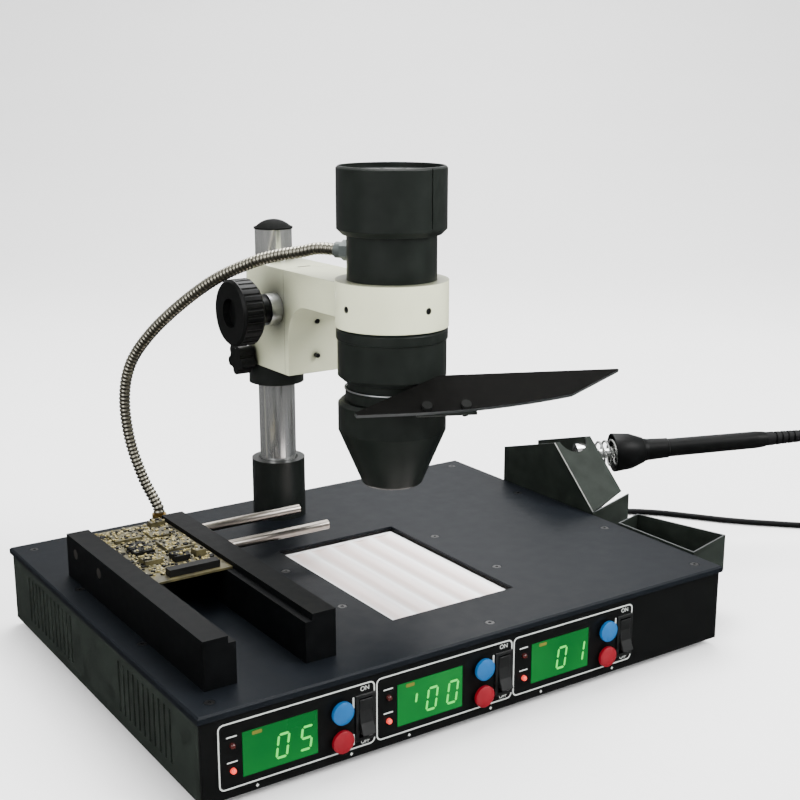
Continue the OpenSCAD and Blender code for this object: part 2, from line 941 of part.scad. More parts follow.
module clamp_collar() {
  at_case()
    color("#1b1d1f")
      difference() {
        union() {
          at_pole(clamp_bottom)
            cylinder(d = clamp_d, h = clamp_h);
          at_pole(clamp_knob_z)
            rotate(behind)
              translate([-clamp_d / 2 - clamp_boss, 0, 0])
                along_x(clamp_h - 4, clamp_boss + 10);
        }
        at_pole(clamp_bottom - cut)
          cylinder(d = pole_d + 2 * fit, h = clamp_h + 2 * cut);
        clamp_bore(clamp_knob_z, behind);
      }
}

// Star knob with its screw, which ends just short of the pole
module clamp_screw(z, face, turn) {
  screw_from = -pole_d / 2 - gap;
  knob_h = 13;
  at_case()
    color("#17181a")
      at_pole(z)
        rotate(turn) {
          translate([-face - knob_h - 1, 0, 0])
            rotate([0, 90, 0])
              star_knob(star_d, knob_h, 5);
          translate([-face - 2, 0, 0])
            along_x(clamp_screw_d, face + 2 + screw_from);
        }
}

module collar_knob() {
  clamp_screw(clamp_knob_z, clamp_d / 2 + clamp_boss + gap, behind);
}

module block_knob() {
  clamp_screw(block_knob_z, arm_w / 2 + 2, 0);
}

// Plan of the slide's tongue, or of its slot with a clearance at the sides and behind
module dovetail(side, back) {
  neck = tongue_w / 2 - 3 + side;
  wide = tongue_w / 2 + side;
  polygon([
    [-neck, slide_back - cut], [neck, slide_back - cut], [neck, slide_back + gap],
    [wide, tongue_back - 2], [wide, tongue_back + back], [-wide, tongue_back + back],
    [-wide, tongue_back - 2], [-neck, slide_back + gap]
  ]);
}

module focus_block() {
  at_case()
    color("#e9e6da")
      difference() {
        union() {
          at_pole(block_bottom)
            cylinder(d = arm_w, h = block_h);
          translate([pole_x - arm_w / 2, slide_back + gap, block_bottom])
            cube([arm_w, pole_y - slide_back - gap, block_h]);
        }
        at_pole(block_bottom - cut)
          cylinder(d = pole_d + 2 * fit, h = block_h + 2 * cut);
        translate([pole_x, 0, block_bottom - cut])
          linear_extrude(block_h + 2 * cut) {
            dovetail(fit, gap);
            translate([-rack_w / 2 - 1, tongue_back])
              square([rack_w + 2, pitch_y + 1.2 - tongue_back]);
          }
        translate([pole_x - rack_w / 2 - 1, pinion_y, pinion_z])
          along_x(2 * pinion_r + 4, rack_w + 2);
        translate([pole_x - arm_w, pinion_y, pinion_z])
          along_x(shaft_d + 2 * fit, 2 * arm_w);
        clamp_bore(block_knob_z, 0);
      }
}

// Outline of a gear with straight flanks and one tooth at angle -90
module gear_outline() {
  root = pinion_r - tooth_down;
  tip = pinion_r + tooth_up;
  half_root = (tooth_half + tooth_down * tooth_lean) / root * 180 / PI;
  half_tip = (tooth_half - tooth_up * tooth_lean) / tip * 180 / PI;
  corners = [[root, -half_root], [tip, -half_tip], [tip, half_tip], [root, half_root]];
  polygon([
    for (i = [0 : pinion_teeth - 1], c = corners)
      let (a = -90 + 360 / pinion_teeth * i + c[1])
        c[0] * [cos(a), sin(a)]
  ]);
}

// Shaft across the block, with the pinion in its middle and a bright hub at each side
module focus_shaft() {
  reach = arm_w / 2 + hub_l + knob_neck_l;
  at_case()
    color("#c9cbcd")
      translate([pole_x, pinion_y, pinion_z]) {
        translate([-rack_w / 2, 0, 0])
          rotate([0, 90, 0])
            linear_extrude(rack_w)
              gear_outline();
        for (side = [-1, 1]) {
          translate([side > 0 ? 0 : -reach, 0, 0])
            along_x(pinion_r * 2 - 2 * tooth_down - 0.4, reach);
          translate([side > 0 ? rack_w / 2 + 1 : -reach, 0, 0])
            along_x(shaft_d, reach - rack_w / 2 - 1);
          translate([side > 0 ? arm_w / 2 + gap : -arm_w / 2 - hub_l, 0, 0])
            along_x(hub_d, hub_l - gap);
        }
      }
}

// Ribbed knob along X, from its neck outwards
module focus_knob(side) {
  neck_from = arm_w / 2 + hub_l;
  at_case()
    color("#141517")
      translate([pole_x, pinion_y, pinion_z])
        rotate([0, side * 90, 0])
          translate([0, 0, neck_from])
            difference() {
              union() {
                cylinder(d = knob_neck_d, h = knob_neck_l + cut);
                translate([0, 0, knob_neck_l])
                  cylinder(d1 = knob_d - 6, d2 = knob_d, h = 3);
                translate([0, 0, knob_neck_l + 3])
                  cylinder(d = knob_d, h = knob_t - 5);
                translate([0, 0, knob_neck_l + knob_t - 2])
                  cylinder(d1 = knob_d, d2 = knob_d - 4, h = 2);
              }
              translate([0, 0, -cut])
                cylinder(d = shaft_d + 2 * fit, h = knob_neck_l + cut);
              translate([0, 0, knob_neck_l + knob_t - 6])
                cylinder(d = knob_d * 0.44, h = 6 + cut);
              for (i = [0 : knob_ribs - 1])
                rotate(360 / knob_ribs * i)
                  translate([knob_d / 2 + 0.6, 0, knob_neck_l + 2])
                    cylinder(d = 3, h = knob_t - 5, $fn = 24);
            }
}

// Arm with the slide's wall and tongue behind it and the lamp ring in front
module ring_arm() {
  at_case()
    color("#eeebe0")
      difference() {
        union() {
          translate([pole_x - arm_w / 2, 0, 0])
            rotate([90, 0, 90])
              linear_extrude(arm_w)
                arm_outline();
          translate([pole_x, 0, block_bottom])
            linear_extrude(block_h)
              dovetail(0, 0);
          at_lamp(ring_bottom)
            cylinder(d = ring_d, h = ring_h, $fn = 96);
        }
        at_lamp(ring_bottom - cut)
          cylinder(d = tube_d + 2 * fit, h = ring_h + 2 * cut, $fn = 96);
        for (a = set_screw_angles)
          at_lamp(set_screw_z)
            rotate([0, 90, a])
              cylinder(d = set_screw_d + 2 * fit, h = ring_d);
        for (z = slide_screws)
          translate([pole_x + 2, slide_y - fillet_r, z])
            along_y(slide_screw_d + 2 * gap, fillet_r);
      }
}

// Side view of the arm and the slide's wall, with depth across and height up
module arm_outline() {
  translate([slide_y, block_bottom])
    square([slide_t, block_h]);
  translate([lamp_y, arm_bottom])
    square([arm_reach - slide_reach + slide_t, arm_h]);
  difference() {
    translate([slide_y - fillet_r, arm_bottom - fillet_r])
      square([fillet_r + cut, fillet_r + cut]);
    translate([slide_y - fillet_r, arm_bottom - fillet_r])
      circle(r = fillet_r);
  }
}

module focus_rack() {
  tip = tooth_down - 0.15;
  half_low = tooth_half + 0.7 * tooth_lean;
  half_tip = tooth_half - tip * tooth_lean;
  low = pinion_z - (rack_teeth / 2) * tooth_pitch;
  at_case()
    color("#b4b6b8")
      translate([pole_x - rack_w / 2, tongue_back, low])
        rotate([90, 0, 90])
          linear_extrude(rack_w) {
            square([rack_root, rack_teeth * tooth_pitch]);
            for (i = [0 : rack_teeth - 1])
              translate([rack_root, (i + 0.5) * tooth_pitch])
                polygon([
                  [-0.1, -half_low], [0.7 + tip, -half_tip],
                  [0.7 + tip, half_tip], [-0.1, half_low]
                ]);
          }
}

// Two screws that hold the slide and three that hold the lamp in its ring
module arm_screws() {
  at_case()
    color("#2a2a2c") {
      for (z = slide_screws)
        translate([pole_x + 2, slide_y, z])
          difference() {
            translate([0, -4, 0])
              along_y(slide_screw_d, 4);
            translate([0, -5, 0])
              along_y(slide_screw_d * 0.45, 3, $fn = 6);
          }
      for (a = set_screw_angles)
        at_lamp(set_screw_z)
          rotate([0, 90, a])
            translate([0, 0, tube_r])
              cylinder(d = set_screw_d, h = ring_d / 2 - tube_r - 1);
    }
}

// Barrel with a slotted top that lets the heat out
module lamp_barrel() {
  lid_t = 3;
  slots = 10;
  at_case()
    color("#17191b")
      at_lamp(barrel_bottom)
        difference() {
          rotate_extrude($fn = 96)
            polygon([
              [tube_r + fit, 0], [lamp_d / 2 - 4, 0], [lamp_d / 2, 4],
              [lamp_d / 2, barrel_h - 1.5], [lamp_d / 2 - 1.5, barrel_h],
              [lamp_d / 2 - lamp_wall, barrel_h], [lamp_d / 2 - lamp_wall, barrel_h - 4],
              [0, barrel_h - 4], [0, barrel_h - 4 - lid_t],
              [lamp_d / 2 - lamp_wall, barrel_h - 4 - lid_t],
              [lamp_d / 2 - lamp_wall, 5], [tube_r + fit, 5]
            ]);
          for (i = [0 : slots - 1])
            rotate(360 / slots * i)
              translate([lamp_d * 0.16, -1.5, barrel_h - 4 - lid_t - cut])
                cube([lamp_d * 0.2, 3, lid_t + 2 * cut]);
          rotate(-79)
            translate([lamp_d / 2 - 0.8, -0.6, 6])
              cube([2, 1.2, barrel_h]);
        }
}

module lamp_tube() {
  at_case()
    color("#1a1c1e")
      difference() {
        at_lamp(tube_bottom)
          tube(tube_d, tube_d - 2 * lamp_wall, tube_top - tube_bottom, $fn = 96);
        at_lamp(conduit_z)
          rotate([0, 90, conduit_angle])
            cylinder(d = thread_d + 2 * fit, h = tube_d);
      }
}

module lamp_body() {
  at_case()
    color("#141618")
      at_lamp(body_bottom)
        rotate_extrude($fn = 96)
          polygon([
            [tube_r + fit, 0], [lamp_d / 2 - 4, 0], [lamp_d / 2, 3.5],
            [lamp_d / 2, body_h - 9], [lamp_d / 2 + 1, body_h - 8],
            [lamp_d / 2 + 1, body_h - 1.5], [lamp_d / 2 - 0.5, body_h],
            [tube_r + fit, body_h], [tube_r + fit, body_h - seat],
            [lamp_d / 2 - lamp_wall, body_h - seat],
            [lamp_d / 2 - lamp_wall, seat], [tube_r + fit, seat]
          ]);
}

// Nozzle that closes on the tube at its top and narrows to the mouth
module nozzle() {
  at_case()
    color("#121416")
      at_lamp(mouth_z)
        rotate_extrude($fn = 96)
          polygon([
            [mouth_d / 2, 0], [mouth_d / 2 + 1.5, 1.5], [lamp_d / 2, cone_h],
            [lamp_d / 2, cone_h + nozzle_h - 2.5], [lamp_d / 2 - 2.5, cone_h + nozzle_h],
            [tube_r + fit, cone_h + nozzle_h], [tube_r + fit, cone_h + nozzle_h - seat],
            [lamp_d / 2 - lamp_wall, cone_h + nozzle_h - seat],
            [lamp_d / 2 - lamp_wall, cone_h], [mouth_d / 2 - lamp_wall, 1.5],
            [mouth_d / 2 - lamp_wall, 0]
          ]);
}

// Reflector bulb, held by its rim at the foot of the tube
module infrared_bulb() {
  rim_r = tube_r - lamp_wall - fit;
  at_case()
    color("#c8ccd0")
      at_lamp(tube_bottom)
        rotate_extrude($fn = 72)
          polygon([
            [0, 2], [rim_r - 6, 1], [rim_r, 3], [rim_r, 9], [rim_r - 3, 12],
            [rim_r * 0.78, 24], [rim_r * 0.52, 38], [16, 50], [16, 66], [12, 70], [0, 70]
          ]);
}

// Frame of the visor on the lamp's axis
module at_visor() {
  at_lamp(0)
    rotate(visor_turn)
      children();
}

// Visor's plane, with X along its lower edge and Y up its slope
module on_visor() {
  at_visor()
    translate([visor_start, -visor_front, visor_z])
      rotate([visor_tilt, 0, 0])
        children();
}

module visor() {
  bend_from = visor_l / 4;
  bend_steps = 8;
  tip = visor_l + visor_tip;
  at_case()
    color("#1e1f20")
      on_visor()
        difference() {
          linear_extrude(visor_t)
            polygon(concat(
              [[2 * visor_corner, 0]],
              [
                for (i = [0 : bend_steps])
                  let (part = i / bend_steps)
                    [bend_from + (visor_l - bend_from) * part, visor_w / 3 * part * part]
              ],
              [
                [tip, visor_w - visor_corner], [tip - visor_corner, visor_w],
                [visor_lean, visor_w], [visor_corner, 2.5 * visor_corner]
              ]
            ));
          for (s = visor_bolt_s)
            translate([s, visor_bolt_t, -cut])
              cylinder(d = visor_bolt_d + 2 * fit, h = visor_t + 2 * cut);
        }
}

// Band round the lamp's neck with a bent bracket under the visor
module visor_clamp() {
  tab_l = visor_bolt_s[1] - visor_bolt_s[0] + 16;
  tab_w = 11;
  at_case()
    color("#b9bcbf") {
      at_visor() {
        translate([0, 0, nozzle_top + gap])
          tube(2 * band_r + 2 * band_t, 2 * band_r, band_h, $fn = 96);
        difference() {
          translate([visor_start + visor_bolt_s[0] - 8, -visor_front + 3, nozzle_top + gap])
            cube([tab_l, visor_front - 3, bracket_t]);
          translate([0, 0, nozzle_top - cut])
            cylinder(r = band_r, h = band_h, $fn = 96);
          for (s = visor_bolt_s)
            translate([visor_start + s, -visor_front + visor_bolt_t + 1.5, nozzle_top - cut])
              cylinder(d = 3.2 * visor_bolt_d, h = 2 * band_h);
        }
      }
      on_visor()
        difference() {
          translate([visor_bolt_s[0] - 8, 0, -bracket_t])
            cube([tab_l, tab_w, bracket_t]);
          for (s = visor_bolt_s)
            translate([s, visor_bolt_t, -bracket_t - cut])
              cylinder(d = visor_bolt_d + 2 * fit, h = bracket_t + 2 * cut);
        }
    }
}

module visor_bolts() {
  head_d = 7.5;
  at_case()
    color("#d0d2d4")
      on_visor()
        for (s = visor_bolt_s)
          translate([s, visor_bolt_t, 0]) {
            translate([0, 0, visor_t])
              cylinder(d = head_d, h = 2.5);
            translate([0, 0, -bracket_t - 5])
              cylinder(d = visor_bolt_d, h = visor_t + bracket_t + 6);
            translate([0, 0, -bracket_t - 3])
              cylinder(d = head_d, h = 3, $fn = 6);
          }
}

// Conduit's upright plane, with X away from the lamp's axis and Z up
module on_conduit() {
  at_lamp(0)
    rotate(conduit_angle)
      children();
}

module conduit() {
  spread = conduit_to - conduit_from;
  route = [
    for (p = conduit_shape)
      [conduit_from[0] + p[0] * spread[0], 0, conduit_to[1] - p[1] * spread[1]]
  ];
  at_case()
    color("#b9b4a4")
      on_conduit()
        tube_along(smooth_curve(route, 5), conduit_d / 2, 10, [0, 1, 0], [1, 0, 0], [0, 0, -1]);
}

// Hexagon nut and ferrule along Z, with the thread below
module conduit_nut(thread_l) {
  translate([0, 0, -thread_l])
    cylinder(d = thread_d, h = thread_l + cut);
  cylinder(d = nut_d, h = nut_h, $fn = 6);
  translate([0, 0, nut_h - cut])
    cylinder(d = conduit_d + 2.5, h = ferrule_l + cut);
}

module conduit_nut_lamp() {
  at_case()
    color("#a8a9ab")
      at_lamp(conduit_z)
        rotate([0, 90, conduit_angle])
          translate([0, 0, tube_r])
            conduit_nut(lamp_wall + 2);
}

module conduit_nut_base() {
  at_case()
    color("#c9a24a")
      translate([nut_x, nut_y, case_h])
        conduit_nut(sheet + 5);
}

// Bar along Y with a ledge on the side that sign points to
module jaw(x, sign, bore) {
  ledge_from = sign > 0 ? x + bar_w - cut : x - ledge_w;
  at_case()
    color("#1d1f22")
      difference() {
        union() {
          translate([x, bar_y, case_h])
            cube([bar_w, bar_l, bar_h]);
          translate([ledge_from, bar_y, case_h])
            cube([ledge_w + cut, bar_l, bar_h - ledge_drop]);
        }
        for (y = rod_rows)
          translate([x - ledge_w - cut, y, rod_z])
            along_x(bore, bar_w + 2 * ledge_w + 2 * cut);
      }
}

module fixed_jaw() {
  jaw(bar_x, 1, rod_d + 0.02);
}

module sliding_jaw() {
  jaw(jaw_x, -1, rod_d + 2 * fit);
}

module guide_rods() {
  at_case()
    color("#d4d2cc")
      for (y = rod_rows)
        translate([bar_x, y, rod_z])
          along_x(rod_d, rod_l);
}

// Circuit board with its larger parts
module work_board() {
  parts = [
    [8, 92, 22, 20, 2.2], [36, 88, 18, 18, 1.8], [10, 58, 16, 22, 3], [34, 52, 24, 24, 2.5],
    [8, 34, 14, 14, 4], [30, 30, 12, 12, 4.5], [48, 32, 8, 10, 5], [46, 112, 12, 8, 4],
    [14, 4, 40, 8, 5.5]
  ];
  at_case()
    color("#8d8350")
      translate([bar_x + bar_w + gap, board_start, ledge_z]) {
        cube([board_w, board_l, board_pcb]);
        for (p = parts)
          translate([p[0] * board_w / 62, p[1] * board_l / 124, board_pcb / 2])
            cube([p[2] * board_w / 62, p[3] * board_l / 124, p[4] + board_pcb / 2]);
      }
}

// Bent sheet with two side walls, a sloping front, a low front wall and a floor
module iron_stand() {
  outer = stand_x + stand_w - stand_t;
  short_y = stand_peak[0] - slope_short * cos(slope_angle);
  short_z = stand_peak[1] - slope_short * sin(slope_angle);
  at_case()
    color("#22262a")
      difference() {
        union() {
          stand_wall(stand_x, [
            [stand_y0, stand_low], [stand_y1, stand_low], [stand_y1, stand_rear],
            stand_peak, [stand_y0, stand_front]
          ]);
          stand_wall(outer, [
            [short_y + stand_cut, stand_low], [stand_y1, stand_low], [stand_y1, stand_rear],
            stand_peak, [short_y, short_z]
          ]);
          translate([stand_x, stand_peak[0], stand_peak[1]])
            rotate([slope_angle, 0, 0])
              translate([0, 0, -stand_t])
                linear_extrude(stand_t)
                  difference() {
                    polygon([
                      [0, 0], [0, -slope_l], [stand_w, -slope_short], [stand_w, 0]
                    ]);
                    translate([stand_w / 2, 2])
                      circle(d = stand_w * 0.72);
                  }
          translate([stand_x, stand_y0 + stand_t, 0])
            rotate([90, 0, 0])
              linear_extrude(stand_t)
                polygon([
                  [0, stand_low], [stand_w, stand_low],
                  [stand_w, stand_front + front_wall_rise], [0, stand_front - 1]
                ]);
          translate([stand_x, stand_y0, stand_low])
            cube([stand_w, stand_y1 - stand_y0, stand_t]);
          for (y = [stand_y0 + boss_inset, stand_y1 - boss_inset])
            translate([case_w, y, stand_low + 16])
              along_x(boss_d, lip + stand_t / 2);
        }
        at_iron(-collar_in - 12)
          cylinder(d = collar_d + 2 * fit, h = collar_in + 30);
      }
}

module stand_wall(x, outline) {
  translate([x, 0, 0])
    rotate([90, 0, 90])
      linear_extrude(stand_t)
        polygon(outline);
}

// Open tray askew to the case, with two bosses against it
module tool_tray() {
  floor_z = tray_top - tray_h;
  inside = [
    for (i = [0 : 3])
      inner_corner(tray_plan[(i + 3) % 4], tray_plan[i], tray_plan[(i + 1) % 4], stand_t)
  ];
  at_case()
    color("#202326") {
      difference() {
        translate([0, 0, floor_z])
          linear_extrude(tray_h)
            polygon(tray_plan);
        translate([0, 0, floor_z + stand_t])
          linear_extrude(tray_h)
            polygon(inside);
      }
      for (y = [tray_near[1] + boss_inset, tray_far[1] - boss_inset])
        translate([case_w, y, floor_z + boss_d])
          along_x(boss_d, lip + stand_t / 2);
    }
}

// Collar in the stand's outer wall and the coil spring that the iron rests in
module spring_rest() {
  spring_from = collar_out - spring_wire;
  spring_to = flange_s - spring_wire / 2 - gap;
  spring_r = (collar_d - spring_wire) / 2;
  steps = 14;
  wire = [
    for (i = [0 : spring_turns * steps])
      let (part = i / (spring_turns * steps), a = 360 * i / steps)
        concat(
          (spring_r + 2 * part) * [cos(a), sin(a)],
          [spring_from + (spring_to - spring_from) * part]
        )
  ];
  at_case()
    color("#b5b7b9") {
      at_iron(-collar_in)
        tube(collar_d, collar_bore, collar_in + collar_out);
      at_iron(0)
        tube_along(wire, spring_wire / 2, 6, [0, 0, 1]);
    }
}

// Handle with a wide flange at its hot end
module iron_handle() {
  r = handle_d / 2;
  at_case()
    color("#141517")
      at_iron(flange_s)
        rotate_extrude($fn = 72)
          polygon([
            [0, 0], [r - 2.5, 0], [r, 2.5], [r, 6], [r * 0.76, 13], [r * 0.63, 23],
            [r * 0.58, 40], [r * 0.58, 43], [r * 0.53, 43.5], [r * 0.5, handle_l - 10],
            [r * 0.46, handle_l - 3], [r * 0.42, handle_l], [0, handle_l]
          ]);
}

// Heater barrel and pointed tip
module iron_shaft() {
  at_case()
    color("#c2c4c6")
      at_iron(flange_s)
        rotate_extrude()
          polygon([
            [0, 0], [6, 0], [6, -12], [4.5, -13], [4.5, -flange_s - 6],
            [3.2, -flange_s - 8], [0.6, -flange_s - shaft_in], [0, -flange_s - shaft_in]
          ]);
}

module strain_relief() {
  ribs = 6;
  low_r = handle_d / 2 * 0.41;
  step = (relief_l - 12) / ribs;
  at_case()
    color("#18191b")
      at_iron(flange_s + handle_l)
        difference() {
          cylinder(r1 = low_r, r2 = cord_d / 2 + 2.5, h = relief_l);
          for (i = [0 : ribs - 1])
            translate([0, 0, 8 + i * step])
              tube(3 * low_r, 2 * (low_r - 1.6 - i * 0.2), step * 0.35);
        }
}

module cord_run() {
  at_case()
    color("#151516")
      tube_along(run_route, cord_d / 2, 10, [0, 0, 1], [1, 0, 0]);
}

module cord_rise() {
  at_case()
    color("#151516")
      tube_along(rise_route, cord_d / 2, 10, [-0.442, -0.895, 0.2], iron_dir);
}

// Outer shape of the coil of spare cord
module cord_coil() {
  at_case()
    color("#151516")
      translate([coil_at[0], coil_at[1], -foot_h])
        rotate_extrude()
          translate([coil_r - cord_d / 2, 0])
            square([cord_d, coil_h]);
}

case_tub();
top_plate();
front_panel();
rubber_feet();
cover_screws();
heater_tray();
heater_plate();
displays();
indicator_lamps();
raise_button(0);  // raise_button_1
raise_button(1);  // raise_button_2
raise_button(2);  // raise_button_3
lower_button(0);  // lower_button_1
lower_button(1);  // lower_button_2
lower_button(2);  // lower_button_3
rocker(0);  // rocker_1
rocker(1);  // rocker_2
rocker(2);  // rocker_3
rocker_frames();
control_board();
transformer();
mains_inlet();
iron_socket();
pole_base();
pole();
pole_cap();
clamp_collar();
collar_knob();
focus_block();
block_knob();
focus_shaft();
focus_knob(-1);  // focus_knob_left
focus_knob(1);  // focus_knob_right
ring_arm();
focus_rack();
arm_screws();
lamp_barrel();
lamp_tube();
lamp_body();
nozzle();
infrared_bulb();
visor();
visor_clamp();
visor_bolts();
conduit();
conduit_nut_lamp();
conduit_nut_base();
fixed_jaw();
sliding_jaw();
guide_rods();
work_board();
iron_stand();
tool_tray();
spring_rest();
iron_handle();
iron_shaft();
strain_relief();
cord_run();
cord_coil();
cord_rise();
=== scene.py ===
# Infrared rework station, seen as in the photograph: a heated case with three control groups, a pole
# with a focusing arm and lamp, a holder for circuit boards, and a soldering iron in its stand.
import math
import random

import bpy
from mathutils import Matrix, Vector


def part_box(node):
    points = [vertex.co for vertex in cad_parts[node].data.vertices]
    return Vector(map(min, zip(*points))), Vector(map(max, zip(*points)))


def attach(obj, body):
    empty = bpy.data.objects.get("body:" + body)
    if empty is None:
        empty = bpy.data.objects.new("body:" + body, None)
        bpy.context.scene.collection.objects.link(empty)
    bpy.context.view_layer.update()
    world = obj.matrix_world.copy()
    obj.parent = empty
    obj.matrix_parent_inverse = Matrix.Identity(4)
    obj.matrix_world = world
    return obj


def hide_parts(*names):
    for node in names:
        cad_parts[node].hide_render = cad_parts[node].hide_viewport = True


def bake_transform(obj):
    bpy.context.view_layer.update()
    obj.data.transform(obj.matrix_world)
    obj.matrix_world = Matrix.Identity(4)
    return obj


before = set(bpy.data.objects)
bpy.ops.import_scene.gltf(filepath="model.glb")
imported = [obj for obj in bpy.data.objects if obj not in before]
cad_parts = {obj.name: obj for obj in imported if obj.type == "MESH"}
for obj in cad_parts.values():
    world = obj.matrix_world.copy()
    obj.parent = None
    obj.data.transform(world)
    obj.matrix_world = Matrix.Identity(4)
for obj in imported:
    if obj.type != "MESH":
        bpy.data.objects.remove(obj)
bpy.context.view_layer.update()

# Camera
# It stands where the photograph was taken: in front of the left corner and a little above.
# The long lens keeps the edges of the case nearly parallel.
view_turn = math.radians(33.95)
camera_data = bpy.data.cameras.new("camera")
camera_data.lens = 58.48
camera_data.sensor_width = 36.0
camera = bpy.data.objects.new("camera", camera_data)
camera.location = (-0.6607, -0.8554, 0.4482)
camera.rotation_euler = (math.radians(76.19), 0.0, -view_turn)
bpy.context.scene.collection.objects.link(camera)
bpy.context.scene.camera = camera

# Cord of the iron
# A round rubber cord, 6 mm thick. It leaves the plug behind the stand, runs over the table to a coil
# of the spare length, which lies past the right edge of the picture, and rises to the iron.
MM = 0.001
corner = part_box("front_panel")[0]


def at(x, y, z):
    """Point that lies x, y and z millimetres from the case's front left lower corner."""
    return corner + MM * Vector((x, y, z))


def linear(colour):
    """Linear red, green, blue and alpha of an sRGB colour like #8090a0."""
    parts = [int(colour[i:i + 2], 16) / 255 for i in (1, 3, 5)]
    return [c / 12.92 if c < 0.04045 else ((c + 0.055) / 1.055) ** 2.4 for c in parts] + [1.0]


def add(tree, kind, **inputs):
    """Adds a shader node, and links or sets the inputs that are named."""
    made = tree.nodes.new("ShaderNode" + kind)
    for key, value in inputs.items():
        socket = made.inputs[key.replace("_", " ")]
        if isinstance(value, bpy.types.NodeSocket):
            tree.links.new(value, socket)
        else:
            socket.default_value = value
    return made


def finish(name, colour, rough, speck_mm, drift=0.15, relief=0.15, stretch=(1, 1, 1), edge_mm=0.0,
           **sockets):
    """Finish whose colour and gloss drift over patches of 15 specks, with the specks in low relief.

    stretch squeezes the pattern along each axis, edge_mm softens the edges, and sockets are the
    shader's own.
    """
    material = bpy.data.materials.new(name)
    material.use_nodes = True
    tree = material.node_tree
    shader = tree.nodes["Principled BSDF"]
    place = add(tree, "TexCoord").outputs["Object"]
    place = add(tree, "Mapping", Vector=place, Scale=stretch).outputs["Vector"]
    specks = 1 / (speck_mm * MM)
    patches = add(tree, "TexNoise", Vector=place, Scale=specks / 15, Detail=6.0).outputs["Fac"]
    grain = add(tree, "TexNoise", Vector=place, Scale=specks, Detail=3.0).outputs["Fac"]
    ramp = add(tree, "ValToRGB", Fac=patches)
    for stop, spot, level in zip(ramp.color_ramp.elements, (0.3, 0.7), (1 - drift, 1 + drift)):
        stop.position = spot
        stop.color = [min(1.0, c * level) for c in linear(colour)[:3]] + [1.0]
    gloss = add(tree, "MapRange", Value=patches, To_Min=0.8 * rough, To_Max=min(1.0, 1.2 * rough))
    bump = add(tree, "Bump", Height=grain, Strength=relief, Distance=0.2 * MM)
    if edge_mm:
        soft_edge = add(tree, "Bevel", Radius=edge_mm * MM)
        tree.links.new(soft_edge.outputs["Normal"], bump.inputs["Normal"])
    tree.links.new(ramp.outputs["Color"], shader.inputs["Base Color"])
    tree.links.new(gloss.outputs["Result"], shader.inputs["Roughness"])
    tree.links.new(bump.outputs["Normal"], shader.inputs["Normal"])
    for key, value in sockets.items():
        shader.inputs[key.replace("_", " ")].default_value = value
    return material


def tube(name, path, radii, material, sides=14):
    """Closed round tube along path, with a radius for each of its points."""
    points = []
    faces = []
    side = None
    for i, (point, radius) in enumerate(zip(path, radii)):
        way = (path[min(i + 1, len(path) - 1)] - path[max(i - 1, 0)]).normalized()
        side = way.orthogonal() if side is None else side - way * side.dot(way)
        side.normalize()
        up = way.cross(side)
        for k in range(sides):
            angle = math.tau * k / sides
            points.append(point + radius * (math.cos(angle) * side + math.sin(angle) * up))
    for i in range(len(path) - 1):
        for k in range(sides):
            n = (k + 1) % sides
            faces.append((i * sides + k, i * sides + n, (i + 1) * sides + n, (i + 1) * sides + k))
    faces.append(list(reversed(range(sides))))
    faces.append(range((len(path) - 1) * sides, len(path) * sides))
    mesh = bpy.data.meshes.new(name)
    mesh.from_pydata(points, [], faces)
    mesh.materials.append(material)
    mesh.shade_smooth()
    made = bpy.data.objects.new(name, mesh)
    bpy.context.scene.collection.objects.link(made)
    return made


def curve(points, steps):
    """Smooth curve through points, with so many steps between two of them."""
    made = []
    for i in range(len(points) - 1):
        a, b = points[max(i - 1, 0)], points[i]
        c, d = points[i + 1], points[min(i + 2, len(points) - 1)]
        for k in range(steps):
            t = k / steps
            made.append(0.5 * (2 * b + (c - a) * t + (2 * a - 5 * b + 4 * c - d) * t ** 2
                               + (3 * b - a - 3 * c + d) * t ** 3))
    return made + [points[-1]]


cord_d = 6.0
table = cord_d / 2 - 6.0
run_route = [
    (498, 310, 28), (508, 310, 28), (518, 310, 27), (529, 310, 25), (540, 309, 22), (551, 309, 18),
    (562, 308, 13), (573, 306, 8), (584, 303, 4), (596, 299, 1), (608, 294, -1), (620, 288, table),
    (632, 280, table), (644, 270, table), (655, 259, table), (665, 246, table), (675, 232, table),
    (685, 218, table), (695, 204, table), (706, 191, table), (718, 178, table), (731, 165, table),
    (744, 152, table), (758, 140, table), (773, 131, table), (789, 126, table),
]
rise_route = [
    (832, 73, 17), (823, 67, 18), (812, 65, 21), (802, 67, 27), (794, 70, 36), (788, 74, 47),
    (784, 77, 58), (779, 81, 69), (774, 83, 79), (767, 87, 89), (759, 91, 97), (750, 95, 103),
    (740, 100, 107), (730, 105, 108),
]
coil_middle = (805, 92)
coil_r = 33.0
coil_turns = 3.3
coil_step = 6.1
turn_points = 24
coil_route = []
for k in range(int(coil_turns * turn_points) + 1):
    angle = math.radians(90) - math.tau * k / turn_points
    x = coil_middle[0] + coil_r * math.cos(angle)
    y = coil_middle[1] + coil_r * math.sin(angle)
    coil_route.append((x, y, table + coil_step * k / turn_points))
iron_turn = math.radians(-26.3)
iron_rise = math.radians(3.0)
iron_way = Vector((math.cos(iron_rise) * math.cos(iron_turn), math.cos(iron_rise) * math.sin(iron_turn),
                   math.sin(iron_rise)))
iron_start = at(506, 215.8, 95.2)
iron_l = 230.0
iron_end = iron_start + iron_l * MM * iron_way
cord_lead = 10.0
cord_steps = 4
cord_path = curve([at(*p) for p in run_route], cord_steps)
cord_path += [at(*p) for p in coil_route]
rise_points = [at(*p) for p in rise_route] + [iron_end + cord_lead * MM * iron_way, iron_end]
cord_path += curve(rise_points, cord_steps)

